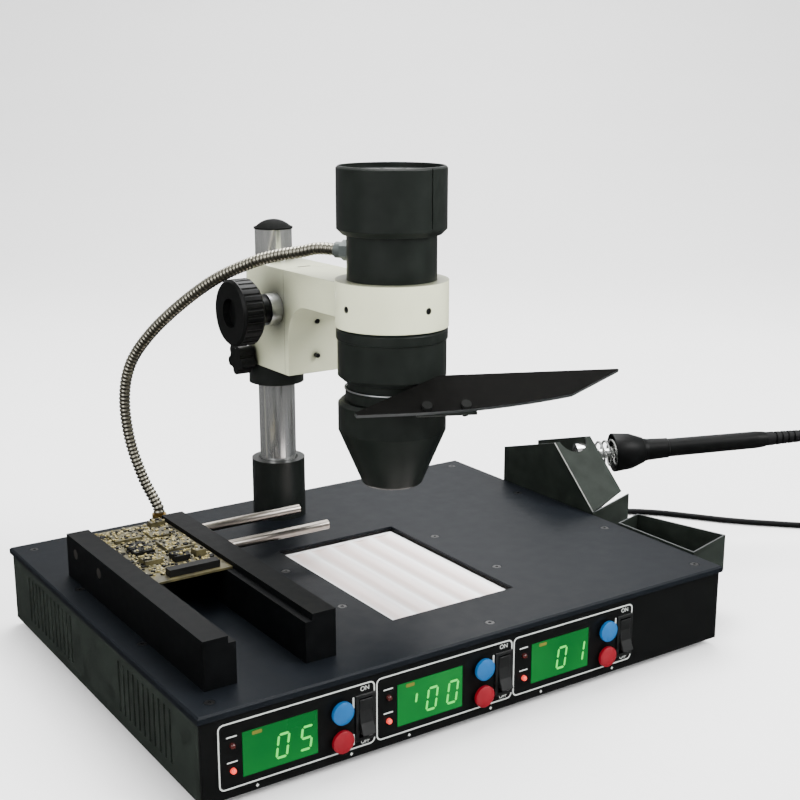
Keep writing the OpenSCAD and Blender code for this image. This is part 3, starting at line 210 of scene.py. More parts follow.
# Extruded rubber: dull black, with a soft sheen along its upper side.
cord_rubber = finish("extruded_rubber", "#0a0a0b", 0.55, 1.4, drift=0.2, relief=0.1,
                     Specular_IOR_Level=0.1)
cord = tube("iron_cord", cord_path, [cord_d / 2 * MM] * len(cord_path), cord_rubber)
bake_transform(cord)
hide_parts("cord_run", "cord_coil", "cord_rise")


# Case and feet
# The tub and the rear inlet are folded from steel sheet and powder coated black. It stands on four
# rubber feet, each held by a screw from below.
def dress(material, *names):
    """Gives CAD nodes a finish."""
    for name in names:
        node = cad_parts[name]
        if not node.material_slots:
            node.data.materials.append(None)
        for slot in node.material_slots:
            slot.material = material


# Powder coat: matt black with a fine peel. The real peel is about 0.4 mm and is drawn coarser to show.
powder_coat = finish("powder_coated_steel", "#1f2420", 0.5, 0.8, drift=0.25, relief=0.35, edge_mm=0.5,
                     Specular_IOR_Level=0.11)
dress(powder_coat, "case_tub", "mains_inlet")
# Moulded rubber: dead matt and a little dusty.
dress(finish("moulded_rubber", "#161617", 0.75, 1.6, relief=0.3), "rubber_feet")

# Heater
# A glazed ceramic plate with five shallow troughs over its heating wires. It hangs on four studs in a
# tray of bright sheet steel under the window of the cover.
# Glazed ceramic: nearly white and glossy, with painted shade that makes it warmer and greyer down in the
# troughs.
ceramic = finish("glazed_ceramic", "#fff8f2", 0.3, 1.1, relief=0.05, stretch=(1, 0.06, 1), Coat_Weight=0.3,
                 Coat_Roughness=0.12)
trough_h = 1.5
plate_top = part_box("heater_plate")[1].z
ceramic_tree = ceramic.node_tree
ceramic_place = add(ceramic_tree, "TexCoord").outputs["Object"]
ceramic_height = add(ceramic_tree, "SeparateXYZ", Vector=ceramic_place).outputs["Z"]
ceramic_rise = add(ceramic_tree, "MapRange", Value=ceramic_height, From_Min=plate_top - trough_h * MM,
                   From_Max=plate_top)
# Painted shade: the colour darkens from the rim of each trough down to its bottom.
trough_shade = add(ceramic_tree, "ValToRGB", Fac=ceramic_rise.outputs["Result"])
for stop, colour in zip(trough_shade.color_ramp.elements, ("#d8c6c0", "#ffffff")):
    stop.color = linear(colour)
ceramic_tree.links.new(trough_shade.outputs["Color"], ceramic_tree.nodes["Principled BSDF"].inputs["Base Color"])
dress(ceramic, "heater_plate")
# Bright rolled steel: grey mirror with marks across the rolling.
dress(finish("rolled_steel", "#9c9ea0", 0.4, 1.1, stretch=(1, 12, 1), Metallic=1.0), "heater_tray")

# Cover
# One steel sheet, painted smooth black and held by countersunk screws along its edges.
# The paint is a shade lighter than the walls because the sky lies on it.
# Stoved paint: satin black, with a painted blue cast in its colour that stands in for the sky's reflection.
dress(finish("stoved_paint", "#0f1216", 0.42, 0.8, drift=0.06, relief=0.25, edge_mm=0.5,
             Specular_IOR_Level=0.065), "top_plate")
# Blacked steel: dark and half bright, as oiled screw heads are.
dress(finish("blacked_steel", "#0f1011", 0.35, 1.1, Metallic=0.4), "cover_screws")

# Front panel
# A gloss black plate with white screen print: a frame with round corners about each control group,
# a tick beside each button, short bars at the indicators, words at each rocker and two small diamonds.
# Gloss lacquer: deep black that mirrors only bright things.
dress(finish("gloss_lacquer", "#090a0a", 0.35, 0.8, relief=0.08, Specular_IOR_Level=0.25), "front_panel")
# Screen ink: flat warm white.
screen_ink = finish("screen_ink", "#a9ada9", 0.5, 1.1, drift=0.05, relief=0.05)
ink_t = 0.1 * MM
upright = (math.radians(90), 0, 0)


def flat_plate(place, wide, high, corner_cut, corner_steps):
    """Adds an upright plate that faces the front, with cut or rounded corners, and leaves it active."""
    bpy.ops.object.select_all(action="DESELECT")
    bpy.ops.mesh.primitive_plane_add(size=1, location=place, rotation=upright)
    made = bpy.context.object
    made.scale = (wide, high, 1)
    bpy.ops.object.transform_apply(location=True, rotation=True, scale=True)
    bpy.ops.object.mode_set(mode="EDIT")
    bpy.ops.mesh.select_all(action="SELECT")
    bpy.ops.mesh.bevel(offset=corner_cut, segments=corner_steps, affect="VERTICES")
    bpy.ops.mesh.select_all(action="SELECT")
    bpy.ops.object.mode_set(mode="OBJECT")
    return made


def thicken(plate, depth):
    """Gives the active plate its thickness, towards the front."""
    wall = plate.modifiers.new("wall", "SOLIDIFY")
    wall.thickness = depth
    wall.offset = 1.0
    bpy.ops.object.modifier_apply(modifier=wall.name)


def copy_of(model, move):
    """Copy of a piece, with its own mesh and its move in the mesh."""
    made = model.copy()
    made.data = model.data.copy()
    made.data.transform(move)
    bpy.context.scene.collection.objects.link(made)
    return made


def join(name, parts, material, body):
    """Makes one piece of parts, with a finish, and lets it ride on a body."""
    bpy.ops.object.select_all(action="DESELECT")
    for part in parts:
        part.select_set(True)
    made = parts[0]
    bpy.context.view_layer.objects.active = made
    if len(parts) > 1:
        bpy.ops.object.join()
    made.name = name
    made.data.name = name
    made.data.materials.clear()
    made.data.materials.append(material)
    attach(made, body)
    return made


def word(letters, place, size):
    """Printed word with its middle at place."""
    bpy.ops.object.select_all(action="DESELECT")
    bpy.ops.object.text_add(location=place, rotation=upright)
    made = bpy.context.object
    made.data.body = letters
    made.data.size = size
    made.data.extrude = ink_t / 2
    made.data.align_x = "CENTER"
    made.data.align_y = "CENTER"
    bpy.ops.object.convert(target="MESH")
    bpy.ops.object.transform_apply(location=True, rotation=True, scale=True)
    return bpy.context.object


button_x = 89.5
group_left = [sum(p.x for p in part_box(f"raise_button_{i}")) / 2 - button_x * MM for i in (1, 2, 3)]
group_w = 117.0
frame_low = 6.0
frame_high = 52.0
frame_r = 4.0
frame_line = 1.0
tick_w = 1.4
tick_h = 8.0
bar_w = 7.5
tick_x = button_x + 10.4
bar_h = 0.9
bar_x = 9.7
diamond_w = 2.4
diamond_z = 2.9
word_x = 109.0
words = (("ON", 48.0, 4.6), ("OFF", 9.3, 4.0))


def on_panel(x, z, group=0):
    """Point on the panel, x and z millimetres from the lower left of a control group."""
    return Vector((group_left[group] + x * MM, corner.y, corner.z + z * MM))


frame_print = flat_plate(on_panel(group_w / 2, (frame_low + frame_high) / 2), group_w * MM,
                         (frame_high - frame_low) * MM, frame_r * MM, 6)
bpy.ops.object.mode_set(mode="EDIT")
bpy.ops.mesh.inset(thickness=frame_line * MM)
bpy.ops.mesh.delete(type="FACE")
bpy.ops.object.mode_set(mode="OBJECT")
thicken(frame_print, ink_t)


def ink_mark(x, z, wide, high, corner_cut, corner_steps=2):
    """Printed mark in the first control group, with its place and sizes in millimetres."""
    made = flat_plate(on_panel(x, z), wide * MM, high * MM, corner_cut * MM, corner_steps)
    thicken(made, ink_t)
    return made


print_parts = [frame_print]
print_parts += [ink_mark(tick_x, tick_z, tick_w, tick_h, 0.4) for tick_z in (12.9, 39.7)]
print_parts += [ink_mark(bar_x, bar_z, bar_w, bar_h, 0.2) for bar_z in (24.5, 42.0)]
print_parts += [ink_mark(x, diamond_z, diamond_w, diamond_w, 0.49 * diamond_w, 1) for x in (27.0, 98.0)]
ink_middle = Vector((0, -ink_t / 2, 0))
for letters, word_z, letter_h in words:
    print_parts.append(word(letters, on_panel(word_x, word_z) + ink_middle, letter_h * MM))
group_print = join("group_print_1", print_parts, screen_ink, "station")
for group in (1, 2):
    move = Matrix.Translation((group_left[group] - group_left[0], 0, 0))
    join(f"group_print_{group + 1}", [copy_of(group_print, move)], screen_ink, "station")

# Displays
# Three windows of tinted film over lit segment digits, set in the panel from behind.
# A segment is one thin bar with pointed ends, and the upright ones lean to the right.
# Tinted film: saturated green, lit from below and dimmer towards the top.
tinted_film = finish("tinted_film", "#07541f", 0.3, 6.7, drift=0.3, relief=0.02, Specular_IOR_Level=0.15,
                     Emission_Color=linear("#085c24"))
film_tree = tinted_film.node_tree
film_place = add(film_tree, "TexCoord").outputs["Object"]
film_height = add(film_tree, "SeparateXYZ", Vector=film_place).outputs["Z"]
film_low = 12.0
film_high = 43.0
film_light = add(film_tree, "MapRange", Value=film_height, From_Min=corner.z + film_low * MM,
                 From_Max=corner.z + film_high * MM, To_Min=0.4, To_Max=0.03)
film_shader = film_tree.nodes["Principled BSDF"]
film_tree.links.new(film_light.outputs["Result"], film_shader.inputs["Emission Strength"])
dress(tinted_film, "displays")
# Lit segments: pale green that outshines the film.
lit_segment = finish("lit_segment", "#2fae3a", 0.4, 1.1, drift=0.05, Emission_Color=linear("#4fe94e"),
                     Emission_Strength=0.62)
digit_left = 23.4
digit_low = 17.5
digit_h = 16.0
digit_w = 7.6
digit_step = 17.6
digit_lean = math.radians(8)
segment_w = 1.7
segment_gap = 1.0
segment_t = 0.12 * MM
# Each segment's middle, in digit widths and half heights, and whether it stands.
segments = {
    "a": (0.5, 2, False), "b": (1, 1.5, True), "c": (1, 0.5, True), "d": (0.5, 0, False),
    "e": (0, 0.5, True), "f": (0, 1.5, True), "g": (0.5, 1, False),
}
lit = {"0": "abcdef", "1": "bc", "5": "acdfg", "'": "b", " ": ""}
segment_l = digit_h / 2 - segment_gap
segment = flat_plate((0, 0, 0), segment_l * MM, segment_w * MM, 0.48 * segment_w * MM, 1)
thicken(segment, segment_t)
film_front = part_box("displays")[0].y
for group, shown in enumerate((" 05", "'00", " 01")):
    bars = []
    for order, digit in enumerate(shown):
        for letter in lit[digit]:
            across, high, stands = segments[letter]
            rise = high * digit_h / 2
            x = digit_left + digit_step * order + across * digit_w + rise * math.tan(digit_lean)
            place = on_panel(x, digit_low + rise, group)
            place.y = film_front
            turn = digit_lean - math.radians(90) if stands else 0.0
            bars.append(copy_of(segment, Matrix.Translation(place) @ Matrix.Rotation(turn, 4, "Y")))
    join(f"digits_{group + 1}", bars, lit_segment, "station")
bpy.data.objects.remove(segment)
# Amber film: a small dim lamp field in each window's upper left corner.
amber_film = finish("amber_film", "#5a5a10", 0.4, 1.1, Emission_Color=linear("#5a5a10"),
                    Emission_Strength=0.2)
amber_x = 27.5
amber_z = 40.5
amber_w = 7.0
amber_h = 2.4
amber_r = 0.6
for group in range(3):
    amber_place = on_panel(amber_x, amber_z, group)
    amber_place.y = film_front
    amber = flat_plate(amber_place, amber_w * MM, amber_h * MM, amber_r * MM, 2)
    thicken(amber, segment_t)
    join(f"amber_field_{group + 1}", [amber], amber_film, "station")

# Indicators, buttons and rockers
# Two small domed lamps, a blue and a red push cap and a rocker in its frame for each group.
# All are moulded and snap into the panel.
# Clear red plastic: it glows in the lower lamps and is nearly brown in the upper, unlit ones.
dress(finish("lit_red_plastic", "#d83a30", 0.3, 1.1, drift=0.1, Emission_Color=linear("#d83a30"),
             Emission_Strength=0.9), "indicator_lamps")
lamp_split = 27.0
lamp_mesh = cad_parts["indicator_lamps"].data
lamp_mesh.materials.append(finish("clear_red_plastic", "#3a1513", 0.25, 1.1))
for face in lamp_mesh.polygons:
    face.material_index = int(face.center.z > corner.z + lamp_split * MM)
# Moulded ABS: even colour under a half gloss.
blue_abs = finish("blue_abs", "#074d82", 0.4, 1.1, drift=0.1, relief=0.06, Specular_IOR_Level=0.3)
red_abs = finish("red_abs", "#720213", 0.4, 1.1, drift=0.1, relief=0.06, Specular_IOR_Level=0.3)
# Moulded nylon: black with a fine spark finish.
black_nylon = finish("black_nylon", "#131414", 0.35, 0.7, drift=0.2, relief=0.1, edge_mm=0.6,
                     Specular_IOR_Level=0.5)
for number in (1, 2, 3):
    dress(blue_abs, f"raise_button_{number}")
    dress(red_abs, f"lower_button_{number}")
    dress(black_nylon, f"rocker_{number}")
dress(black_nylon, "rocker_frames")

# Works inside the case
# A circuit board behind the panel, a transformer on the floor, and the socket of the iron's plug.
# Solder mask: mid green and half gloss.
dress(finish("solder_mask", "#1f6b35", 0.4, 1.1), "control_board")
# Lacquered copper wire: brown with a metal glint.
dress(finish("lacquered_copper", "#8c5a2a", 0.45, 1.1, Metallic=0.4), "transformer")
# Nickel plate: grey and fairly bright.
dress(finish("nickel_plate", "#b4b6b8", 0.35, 1.1, Metallic=1.0), "iron_socket")

# Pole
# A polished steel bar in a turned black socket that is screwed to the cover. A collar with a star knob
# carries the arm, and a moulded cap closes the top.
# Polished steel: clear mirror with long fine marks from the buffing.
polished_steel = finish("polished_steel", "#e3e4e2", 0.16, 1.1, drift=0.12, relief=0.03,
                        stretch=(6, 6, 0.2), Metallic=0.93)
dress(polished_steel, "pole")
# Black enamel on cast iron: smooth, with broad soft highlights.
cast_enamel = finish("enamelled_casting", "#141715", 0.34, 0.8, relief=0.12, Specular_IOR_Level=0.25)
dress(cast_enamel, "pole_base", "clamp_collar")
# Moulded bakelite: black and half gloss.
bakelite = finish("moulded_bakelite", "#0b0c0c", 0.45, 0.9, drift=0.2, relief=0.2, Specular_IOR_Level=0.14)
# Dipped vinyl: dead matt black.
dress(finish("dipped_vinyl", "#101110", 0.75, 1.1, Specular_IOR_Level=0.04), "pole_cap")
dress(bakelite, "collar_knob", "block_knob", "focus_knob_left", "focus_knob_right")

# Focusing arm
# Two aluminium castings, painted cream: the block on the pole and the ring that holds the lamp. A rack
# and a dovetail join them, and a steel shaft with two knobs drives the rack.
# Stoved cream paint: thick and glossy, rounding every edge.
cream_paint = finish("cream_paint", "#cdd0b0", 0.32, 2.0, drift=0.03, relief=0.1, edge_mm=1.2,
                     Coat_Weight=0.25, Coat_Roughness=0.12)
# The castings are painted a little greyer wherever they are enclosed, in recesses and corners, than on
# their open faces: painted shade.
cream_tree = cream_paint.node_tree
cream_shader = cream_tree.nodes["Principled BSDF"]
cream_unshaded = cream_shader.inputs["Base Color"].links[0].from_socket
cream_shaded = cream_unshaded
for shade_reach in (30.0, 100.0):
    hollow_shade = add(cream_tree, "AmbientOcclusion", Color=cream_shaded, Distance=shade_reach * MM)
    cream_shaded = hollow_shade.outputs["Color"]
cream_tree.links.new(cream_shaded, cream_shader.inputs["Base Color"])
dress(cream_paint, "focus_block", "ring_arm")
# Ground steel: even grey with marks round the shaft.
ground_steel = finish("ground_steel", "#c3c5c6", 0.3, 1.1, drift=0.08, stretch=(1, 8, 8), Metallic=1.0)
dress(ground_steel, "focus_shaft", "focus_rack")
# Black oxide steel: dark grey with a metal glint.
black_oxide = finish("black_oxide_steel", "#252627", 0.37, 1.1, Metallic=0.75)
dress(black_oxide, "arm_screws")

# Lamp
# A turned aluminium tube with a wider body, enamelled black, and a spun nozzle at its foot. The
# infrared bulb inside has a silvered reflector.
# Satin enamel: black with long soft highlights down the tube.
satin_enamel = finish("satin_enamel", "#151916", 0.37, 0.8, drift=0.2, relief=0.1, edge_mm=0.8,
                      Specular_IOR_Level=0.2)
dress(satin_enamel, "lamp_barrel", "lamp_tube", "lamp_body", "nozzle")
# Silvered glass: bright mirror.
dress(finish("silvered_glass", "#c9ccd0", 0.12, 1.1, Metallic=0.9), "infrared_bulb")

# Visor
# A bent shield of dark plastic sheet that keeps glare from the eyes. Two bolts hold it on a bracket
# that clamps round the lamp.
# Dark acrylic sheet: black and dull on its outer face.
dress(finish("dark_acrylic", "#0c0c0b", 0.7, 0.8, drift=0.25, relief=0.1, Specular_IOR_Level=0.02), "visor")
dress(satin_enamel, "visor_clamp")
# Painted steel bolts: as dark as the sheet.
dress(finish("painted_bolt", "#141514", 0.6, 1.1, Specular_IOR_Level=0.04), "visor_bolts")
# Sheet edges: dark grey steel, lighter than the faces, as a painted highlight line.
edge_highlight = finish("edge_highlight", "#3f4242", 0.4, 1.1, Metallic=0.5)


def highlight_edges(name, widest_mm):
    """Gives a sheet's narrow flat faces, such as its rims, a lighter metal finish as a painted highlight.
    """
    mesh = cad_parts[name].data
    mesh.materials.append(edge_highlight)
    planes = {}
    for face in mesh.polygons:
        key = [round(v, 2) for v in face.normal] + [round(face.center.dot(face.normal) / MM)]
        planes.setdefault(tuple(key), []).append(face)
    for faces in planes.values():
        points = [mesh.vertices[i].co for face in faces for i in face.vertices]
        reach = max((p - points[0]).length for p in points)
        if sum(face.area for face in faces) / reach < widest_mm * MM:
            for face in faces:
                face.material_index = len(mesh.materials) - 1


# The visor's narrow edges get a painted highlight line.
highlight_edges("visor", 4.0)
# A bright spring wire lies on the clamp's band, open at the back.
lamp_axis = (230.5, 131.5)
wire_r = 36.0
wire_d = 1.4
wire_rise = 9.2
wire_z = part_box("nozzle")[1].z + wire_rise * MM
wire_from = 110.0
wire_turn = 330.0
wire_steps = 60
wire_path = []
for k in range(wire_steps + 1):
    angle = math.radians(wire_from + wire_turn * k / wire_steps)
    point = at(lamp_axis[0] + wire_r * math.cos(angle), lamp_axis[1] + wire_r * math.sin(angle), 0)
    point.z = wire_z
    wire_path.append(point)
wire = tube("clamp_wire", wire_path, [wire_d / 2 * MM] * len(wire_path), ground_steel, sides=8)
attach(wire, "visor")

# Flexible conduit
# A ribbed hose wound from steel strip, with a union nut at each end, that carries the lamp's wires. It is
# drawn in three lengths: from the case to the collar, from the collar to the arm and from the arm to the
# lamp.
# Galvanised strip: warm grey metal, bright on each rib.
hose_strip = finish("galvanised_strip", "#8c897c", 0.32, 1.6, relief=0.1, Metallic=1.0)
nut_place = (122, 335)
hose_r = 5.0
hose_fine = 40
hose_from = (48.0, 317.0)
hose_to = (math.dist(lamp_axis, nut_place), 76.0)
hose_shape = [
    (0, 1), (0.09, 1), (0.18, 0.985), (0.31, 0.965), (0.44, 0.935), (0.63, 0.87), (0.83, 0.77),
    (1.01, 0.655), (1.13, 0.54), (1.175, 0.41), (1.155, 0.26), (1.09, 0.13), (1.025, 0.05),
    (1.003, 0.02), (1, 0),
]
hose_turn = math.atan2(nut_place[1] - lamp_axis[1], nut_place[0] - lamp_axis[0])
hose_points = []
for along, high in reversed(hose_shape):
    reach = hose_from[0] + along * (hose_to[0] - hose_from[0])
    height = hose_to[1] + high * (hose_from[1] - hose_to[1])
    hose_points.append(at(lamp_axis[0] + reach * math.cos(hose_turn),
                          lamp_axis[1] + reach * math.sin(hose_turn), height))
hose_line = curve(hose_points, hose_fine)
hose_steps = [0.0]
for a, b in zip(hose_line, hose_line[1:]):
    hose_steps.append(hose_steps[-1] + (b - a).length)


def hose_point(length):
    """Point of the hose at so many metres from the nut on the cover."""
    for k in range(1, len(hose_steps)):
        if hose_steps[k] >= length:
            part = (length - hose_steps[k - 1]) / (hose_steps[k] - hose_steps[k - 1])
            return hose_line[k - 1].lerp(hose_line[k], part)
    return hose_line[-1].copy()


rib_pitch = 3.5 * MM
rib_profile = (0.73, 0.95, 1.0, 0.95)
rib_points = len(rib_profile)
ribs = round(hose_steps[-1] / rib_pitch)
hose_path = [hose_point(hose_steps[-1] * k / (rib_points * ribs)) for k in range(rib_points * ribs + 1)]
hose_parts = (("station", "collar", 0.0, 0.35), ("collar", "arm", 0.35, 0.8), ("arm", "lamp", 0.8, 1.0))
for below, above, first, last in hose_parts:
    low = round(first * ribs) * rib_points
    high = round(last * ribs) * rib_points
    part_path = hose_path[low:high + 1]
    part_radii = [hose_r * MM * rib_profile[k % rib_points] for k in range(len(part_path))]
    part = tube(f"hose_{below}_{above}", part_path, part_radii, hose_strip)
    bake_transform(part)
    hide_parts("conduit")
# Cast zinc: dull mid grey.
dress(finish("cast_zinc", "#5c6260", 0.5, 1.1, Metallic=0.6), "conduit_nut_lamp")
# Turned brass: warm yellow and bright.
dress(finish("turned_brass", "#c8a55a", 0.3, 1.1, drift=0.1, Metallic=1.0), "conduit_nut_base")

# Board holder
# Two aluminium bars, anodised black, on a pair of polished rods. The near bar is fixed and the far one
# slides, so that they grip a board by its edges.
# Anodised aluminium: matt black with a fine grain.
dress(finish("anodised_aluminium", "#08090a", 0.48, 0.7, drift=0.25, Specular_IOR_Level=0.07),
      "fixed_jaw", "sliding_jaw")
# Turned steel: warm grey and satin.
dress(finish("turned_steel", "#8f8982", 0.3, 1.1, drift=0.04, relief=0.05, stretch=(6, 0.5, 0.5),
             Metallic=1.0), "guide_rods")

# Circuit board
# A worn board in olive mask with black packages, a connector at its near end, and some hundreds of
# small soldered parts: black chips, tan ceramic blocks and bright cans.
# Olive mask over copper: brown to gold. Its tracks are finer than a pixel and drawn as specks of 0.6 mm.
olive_mask = finish("olive_mask", "#403b23", 0.45, 0.6, drift=0.7, relief=0.6)
dress(olive_mask, "work_board")
# Moulded epoxy: matt near-black.
black_epoxy = finish("black_epoxy", "#0e0e0d", 0.5, 1.1, drift=0.2, Specular_IOR_Level=0.15)
# Ceramic blocks: tan with a dull glint from their tinned ends.
tan_ceramic = finish("tan_ceramic", "#8f8355", 0.4, 0.4, drift=0.4, Metallic=0.3)
# Tinned steel: pale and fairly bright.
tinned_steel = finish("tinned_steel", "#a8a48c", 0.35, 0.4, drift=0.2, Metallic=0.8)
board_low, board_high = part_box("work_board")
board_t = 1.6
slack = 0.1
board_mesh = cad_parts["work_board"].data
board_mesh.materials.append(black_epoxy)
# Each block's left and near edges, width, depth and height on the board, and whether it is black.
board_blocks = (
    (8, 92, 22, 20, 2.2, False), (36, 88, 18, 18, 1.8, False), (10, 58, 16, 22, 3, True),
    (34, 52, 24, 24, 2.5, False), (8, 34, 14, 14, 4, False), (30, 30, 12, 12, 4.5, True),
    (48, 32, 8, 10, 5, False), (46, 112, 12, 8, 4, False), (14, 4, 40, 8, 5.5, True),
)


def block_at(x, y):
    """Block of the board that stands at x and y, in millimetres from the board's corner."""
    for block in board_blocks:
        left, near, wide, deep = block[:4]
        if left - slack < x < left + wide + slack and near - slack < y < near + deep + slack:
            return block
    return None


for face in board_mesh.polygons:
    x, y, z = (face.center - board_low) / MM
    block = block_at(x, y)
    if block and block[5] and z > board_t + slack:
        face.material_index = 1


def small_block():
    """Adds a block of unit size that stands on the origin, with its edges bevelled."""
    bpy.ops.object.select_all(action="DESELECT")
    bpy.ops.mesh.primitive_cube_add(size=1, location=(0, 0, 0.5))
    made = bpy.context.object
    bpy.ops.object.transform_apply(location=True, rotation=True, scale=True)
    bpy.ops.object.mode_set(mode="EDIT")
    bpy.ops.mesh.select_all(action="SELECT")
    bpy.ops.mesh.bevel(offset=0.1, segments=1, affect="EDGES")
    bpy.ops.object.mode_set(mode="OBJECT")
    return made


def choose(mesh, kind, test):
    """Selects only the vertices, edges or faces of a mesh that pass a test."""
    for group in (mesh.vertices, mesh.edges, mesh.polygons):
        for item in group:
            item.select = False
    for item in getattr(mesh, kind):
        item.select = test(item)


def small_can():
    """Adds a can of unit size that stands on the origin, with the rim of its top bevelled."""
    bpy.ops.object.select_all(action="DESELECT")
    bpy.ops.mesh.primitive_cylinder_add(vertices=10, radius=0.5, depth=1, location=(0, 0, 0.5))
    made = bpy.context.object
    bpy.ops.object.transform_apply(location=True, rotation=True, scale=True)
    points = made.data.vertices
    choose(made.data, "edges", lambda edge: all(points[i].co.z > 0.9 for i in edge.vertices))
    bpy.ops.object.mode_set(mode="EDIT")
    bpy.ops.mesh.select_mode(type="EDGE")
    bpy.ops.mesh.bevel(offset=0.12, segments=1, affect="EDGES")
    bpy.ops.object.mode_set(mode="OBJECT")
    return made


dice = random.Random(7)
part_kinds = (
    ("board_chips", small_block, black_epoxy, 260, (1.2, 1.6, 2.2, 3.2), (0.5, 0.9, 1.2)),
    ("board_ceramics", small_block, tan_ceramic, 380, (0.9, 1.2, 1.8, 2.6), (0.5, 0.8, 1.2)),
    ("board_cans", small_can, tinned_steel, 160, (0.9, 1.3, 2.0), (0.6, 0.9, 1.4)),
)
board_w, board_l = (board_high.xy - board_low.xy) / MM
board_edge = 2.0
connector_end = 13.0
for name, model_maker, material, count, widths, heights in part_kinds:
    model = model_maker()
    copies = []
    for k in range(count):
        size = MM * Vector((dice.choice(widths), dice.choice(widths), dice.choice(heights)))
        x = dice.uniform(board_edge, board_w - board_edge)
        y = dice.uniform(connector_end, board_l - board_edge)
        block = block_at(x, y)
        place = board_low + MM * Vector((x, y, board_t + (block[4] if block else 0)))
        copies.append(copy_of(model, Matrix.LocRotScale(place, None, size)))
    bpy.data.objects.remove(model)
    join(name, copies, material, "board")

# Iron stand and tool tray
# Both are folded from black sheet. The stand has sloping sides and a spring that rests the iron, and
# the tray hangs askew on the case's right wall.
dress(powder_coat, "iron_stand", "tool_tray")
# The narrow rims of the stand and the tray get a painted highlight line.
highlight_edges("iron_stand", 6.0)
highlight_edges("tool_tray", 6.0)
# Along the fold between its left wall and its slope, a thin light grey rod paints a highlight line on the
# stand.
fold_d = 1.1
fold_low = at(462.2, 153, 64)
fold_high = at(462.2, 208, 116)
fold_path = [fold_low.lerp(fold_high, k / 8) for k in range(9)]
# Painted highlight steel: dull light grey.
highlight_steel = finish("highlight_sheet_steel", "#8f918e", 0.5, 1.1, Metallic=0.2)
stand_fold_highlight = tube("stand_fold_highlight", fold_path, [fold_d / 2 * MM] * len(fold_path), highlight_steel, sides=8)
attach(stand_fold_highlight, "station")
dress(polished_steel, "spring_rest")

# Iron
# A waisted handle with a flange, a bright barrel, and a ribbed rubber sleeve where the cord goes in.
# The barrel lies in the stand's spring.
# Moulded phenolic: matt black, worn a little smooth by the hand.
phenolic = finish("moulded_phenolic", "#090a0a", 0.45, 1.1, drift=0.25, relief=0.25,
                  Specular_IOR_Level=0.08)
dress(phenolic, "iron_handle")
dress(polished_steel, "iron_shaft")
# A flared guard of the same stuff keeps the fingers off the barrel. It covers the flange and narrows to
# the handle behind it.
guard_from = 28.0
guard_l = 17.0
guard_r = 16.9
guard_flare = 1.1
guard_cone = 13.0
guard_narrow = 0.71
guard_wall = 1.6
guard_rim = 0.5
guard_sides = 48
guard_middle = iron_start + (guard_from + guard_l / 2) * MM * iron_way
bpy.ops.object.select_all(action="DESELECT")
bpy.ops.mesh.primitive_cylinder_add(vertices=guard_sides, radius=guard_r * MM, depth=guard_l * MM,
                                    end_fill_type="NOTHING", location=guard_middle,
                                    rotation=iron_way.to_track_quat("Z", "Y").to_euler())
guard = bpy.context.object
bpy.ops.object.transform_apply(location=True, rotation=True, scale=True)
guard_front = guard_middle - guard_l / 2 * MM * iron_way
guard_rear = guard_middle + (guard_l / 2 + guard_cone) * MM * iron_way


def behind_middle(edge):
    """Tells whether an edge of the guard lies on its rear rim."""
    ends = [guard.data.vertices[i].co - guard_middle for i in edge.vertices]
    return all(p.dot(iron_way) > 0 for p in ends)


choose(guard.data, "vertices", lambda v: (v.co - guard_middle).dot(iron_way) < 0)
bpy.ops.object.mode_set(mode="EDIT")
bpy.ops.mesh.select_mode(type="VERT")
bpy.ops.transform.resize(value=[guard_flare] * 3, center_override=guard_front)
bpy.ops.object.mode_set(mode="OBJECT")
choose(guard.data, "edges", behind_middle)
bpy.ops.object.mode_set(mode="EDIT")
bpy.ops.mesh.select_mode(type="EDGE")
bpy.ops.mesh.extrude_edges_move(TRANSFORM_OT_translate={"value": guard_cone * MM * iron_way})
bpy.ops.transform.resize(value=[guard_narrow] * 3, center_override=guard_rear)
bpy.ops.mesh.select_all(action="SELECT")
bpy.ops.mesh.normals_make_consistent(inside=False)
bpy.ops.object.mode_set(mode="OBJECT")
wall = guard.modifiers.new("wall", "SOLIDIFY")
wall.thickness = guard_wall * MM
wall.offset = -1.0
bpy.ops.object.modifier_apply(modifier=wall.name)
rim = guard.modifiers.new("rim", "BEVEL")
rim.width = guard_rim * MM
rim.segments = 2
bpy.ops.object.modifier_apply(modifier=rim.name)
guard.data.shade_smooth()
join("iron_guard", [guard], phenolic, "iron")
# Moulded rubber sleeve: matt, darker than the handle.
dress(finish("sleeve_rubber", "#0a0a0b", 0.6, 1.4, drift=0.25, relief=0.2, Specular_IOR_Level=0.14),
      "strain_relief")

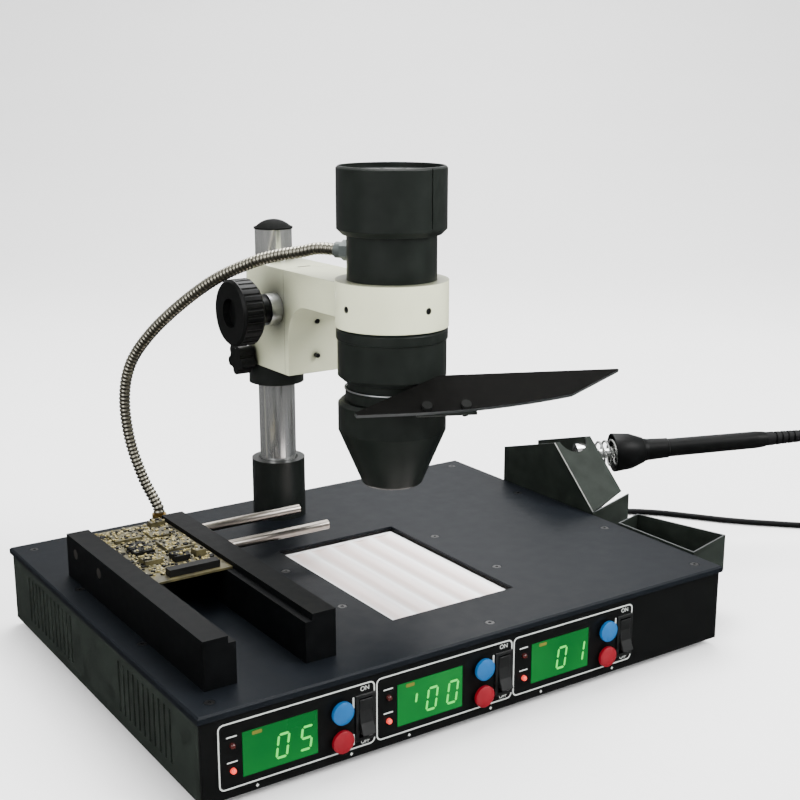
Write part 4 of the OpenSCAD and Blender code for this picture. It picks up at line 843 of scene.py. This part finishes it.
# Floor and light
# A cove of white paper whose floor curves up into walls on all sides, under four broad soft lamps and
# a dim sky. The curve is wide, so that no line shows behind the object from any side.
cove_w = 9.0
cove_l = 7.0
cove_h = 5.0
cove_r = 1.6
cove_drop = 0.4
bpy.ops.object.select_all(action="DESELECT")
bpy.ops.mesh.primitive_plane_add(size=1, rotation=(0, 0, -view_turn))
cove = bpy.context.object
cove.name = "paper_cove"
cove.scale = (cove_w, cove_l, 1)
bpy.ops.object.transform_apply(location=True, rotation=True, scale=True)
bpy.ops.object.mode_set(mode="EDIT")
bpy.ops.mesh.select_mode(type="EDGE")
bpy.ops.mesh.select_all(action="SELECT")
bpy.ops.mesh.extrude_edges_move(TRANSFORM_OT_translate={"value": (0, 0, cove_h)})
bpy.ops.object.mode_set(mode="OBJECT")
cove_points = cove.data.vertices
choose(cove.data, "edges", lambda edge: all(cove_points[i].co.z < 0.1 for i in edge.vertices))
bpy.ops.object.mode_set(mode="EDIT")
bpy.ops.mesh.bevel(offset=cove_r, segments=12, affect="EDGES")
bpy.ops.object.mode_set(mode="OBJECT")
cove.data.shade_smooth()
cove.data.transform(Matrix.Translation((0, 0, -cove_drop * MM)))
# Matt paper: white and even, lit through from behind a little.
cove.data.materials.append(finish("matt_paper", "#f6f6f6", 0.8, 33.0, drift=0.01, relief=0.0,
                                  Emission_Color=linear("#ffffff"), Emission_Strength=0.1))
# The paper lights the object but isn't mirrored in it, so that black paint stays black.
cove.visible_glossy = False
world = bpy.data.worlds.new("studio")
world.use_nodes = True
sky = world.node_tree.nodes["Background"]
sky.inputs["Color"].default_value = (1.0, 1.0, 1.0, 1.0)
sky_way = add(world.node_tree, "TexCoord").outputs["Generated"]
sky_height = add(world.node_tree, "SeparateXYZ", Vector=sky_way).outputs["Z"]
sky_light = add(world.node_tree, "MapRange", Value=sky_height, From_Min=-0.3, From_Max=0.7, To_Min=0.08,
                To_Max=0.75)
world.node_tree.links.new(sky_light.outputs["Result"], sky.inputs["Strength"])
bpy.context.scene.world = world
lamp_aim = Vector((0, 0, 0.15))
lamps = (
    ("key", (1.1, -1.7, 1.9), 1.2, 100.0), ("fill", (-1.9, -0.7, 1.3), 1.4, 26.0),
    ("top", (0.3, 0.5, 2.2), 1.6, 105.0), ("back", (1.5, 2.2, 2.3), 1.8, 55.0),
)
for name, place, size, power in lamps:
    lamp_data = bpy.data.lights.new(name, "AREA")
    lamp_data.shape = "DISK"
    lamp_data.size = size
    lamp_data.energy = power
    lamp = bpy.data.objects.new(name, lamp_data)
    lamp.location = place
    lamp.rotation_euler = (lamp_aim - lamp.location).to_track_quat("-Z", "Y").to_euler()
    bpy.context.scene.collection.objects.link(lamp)
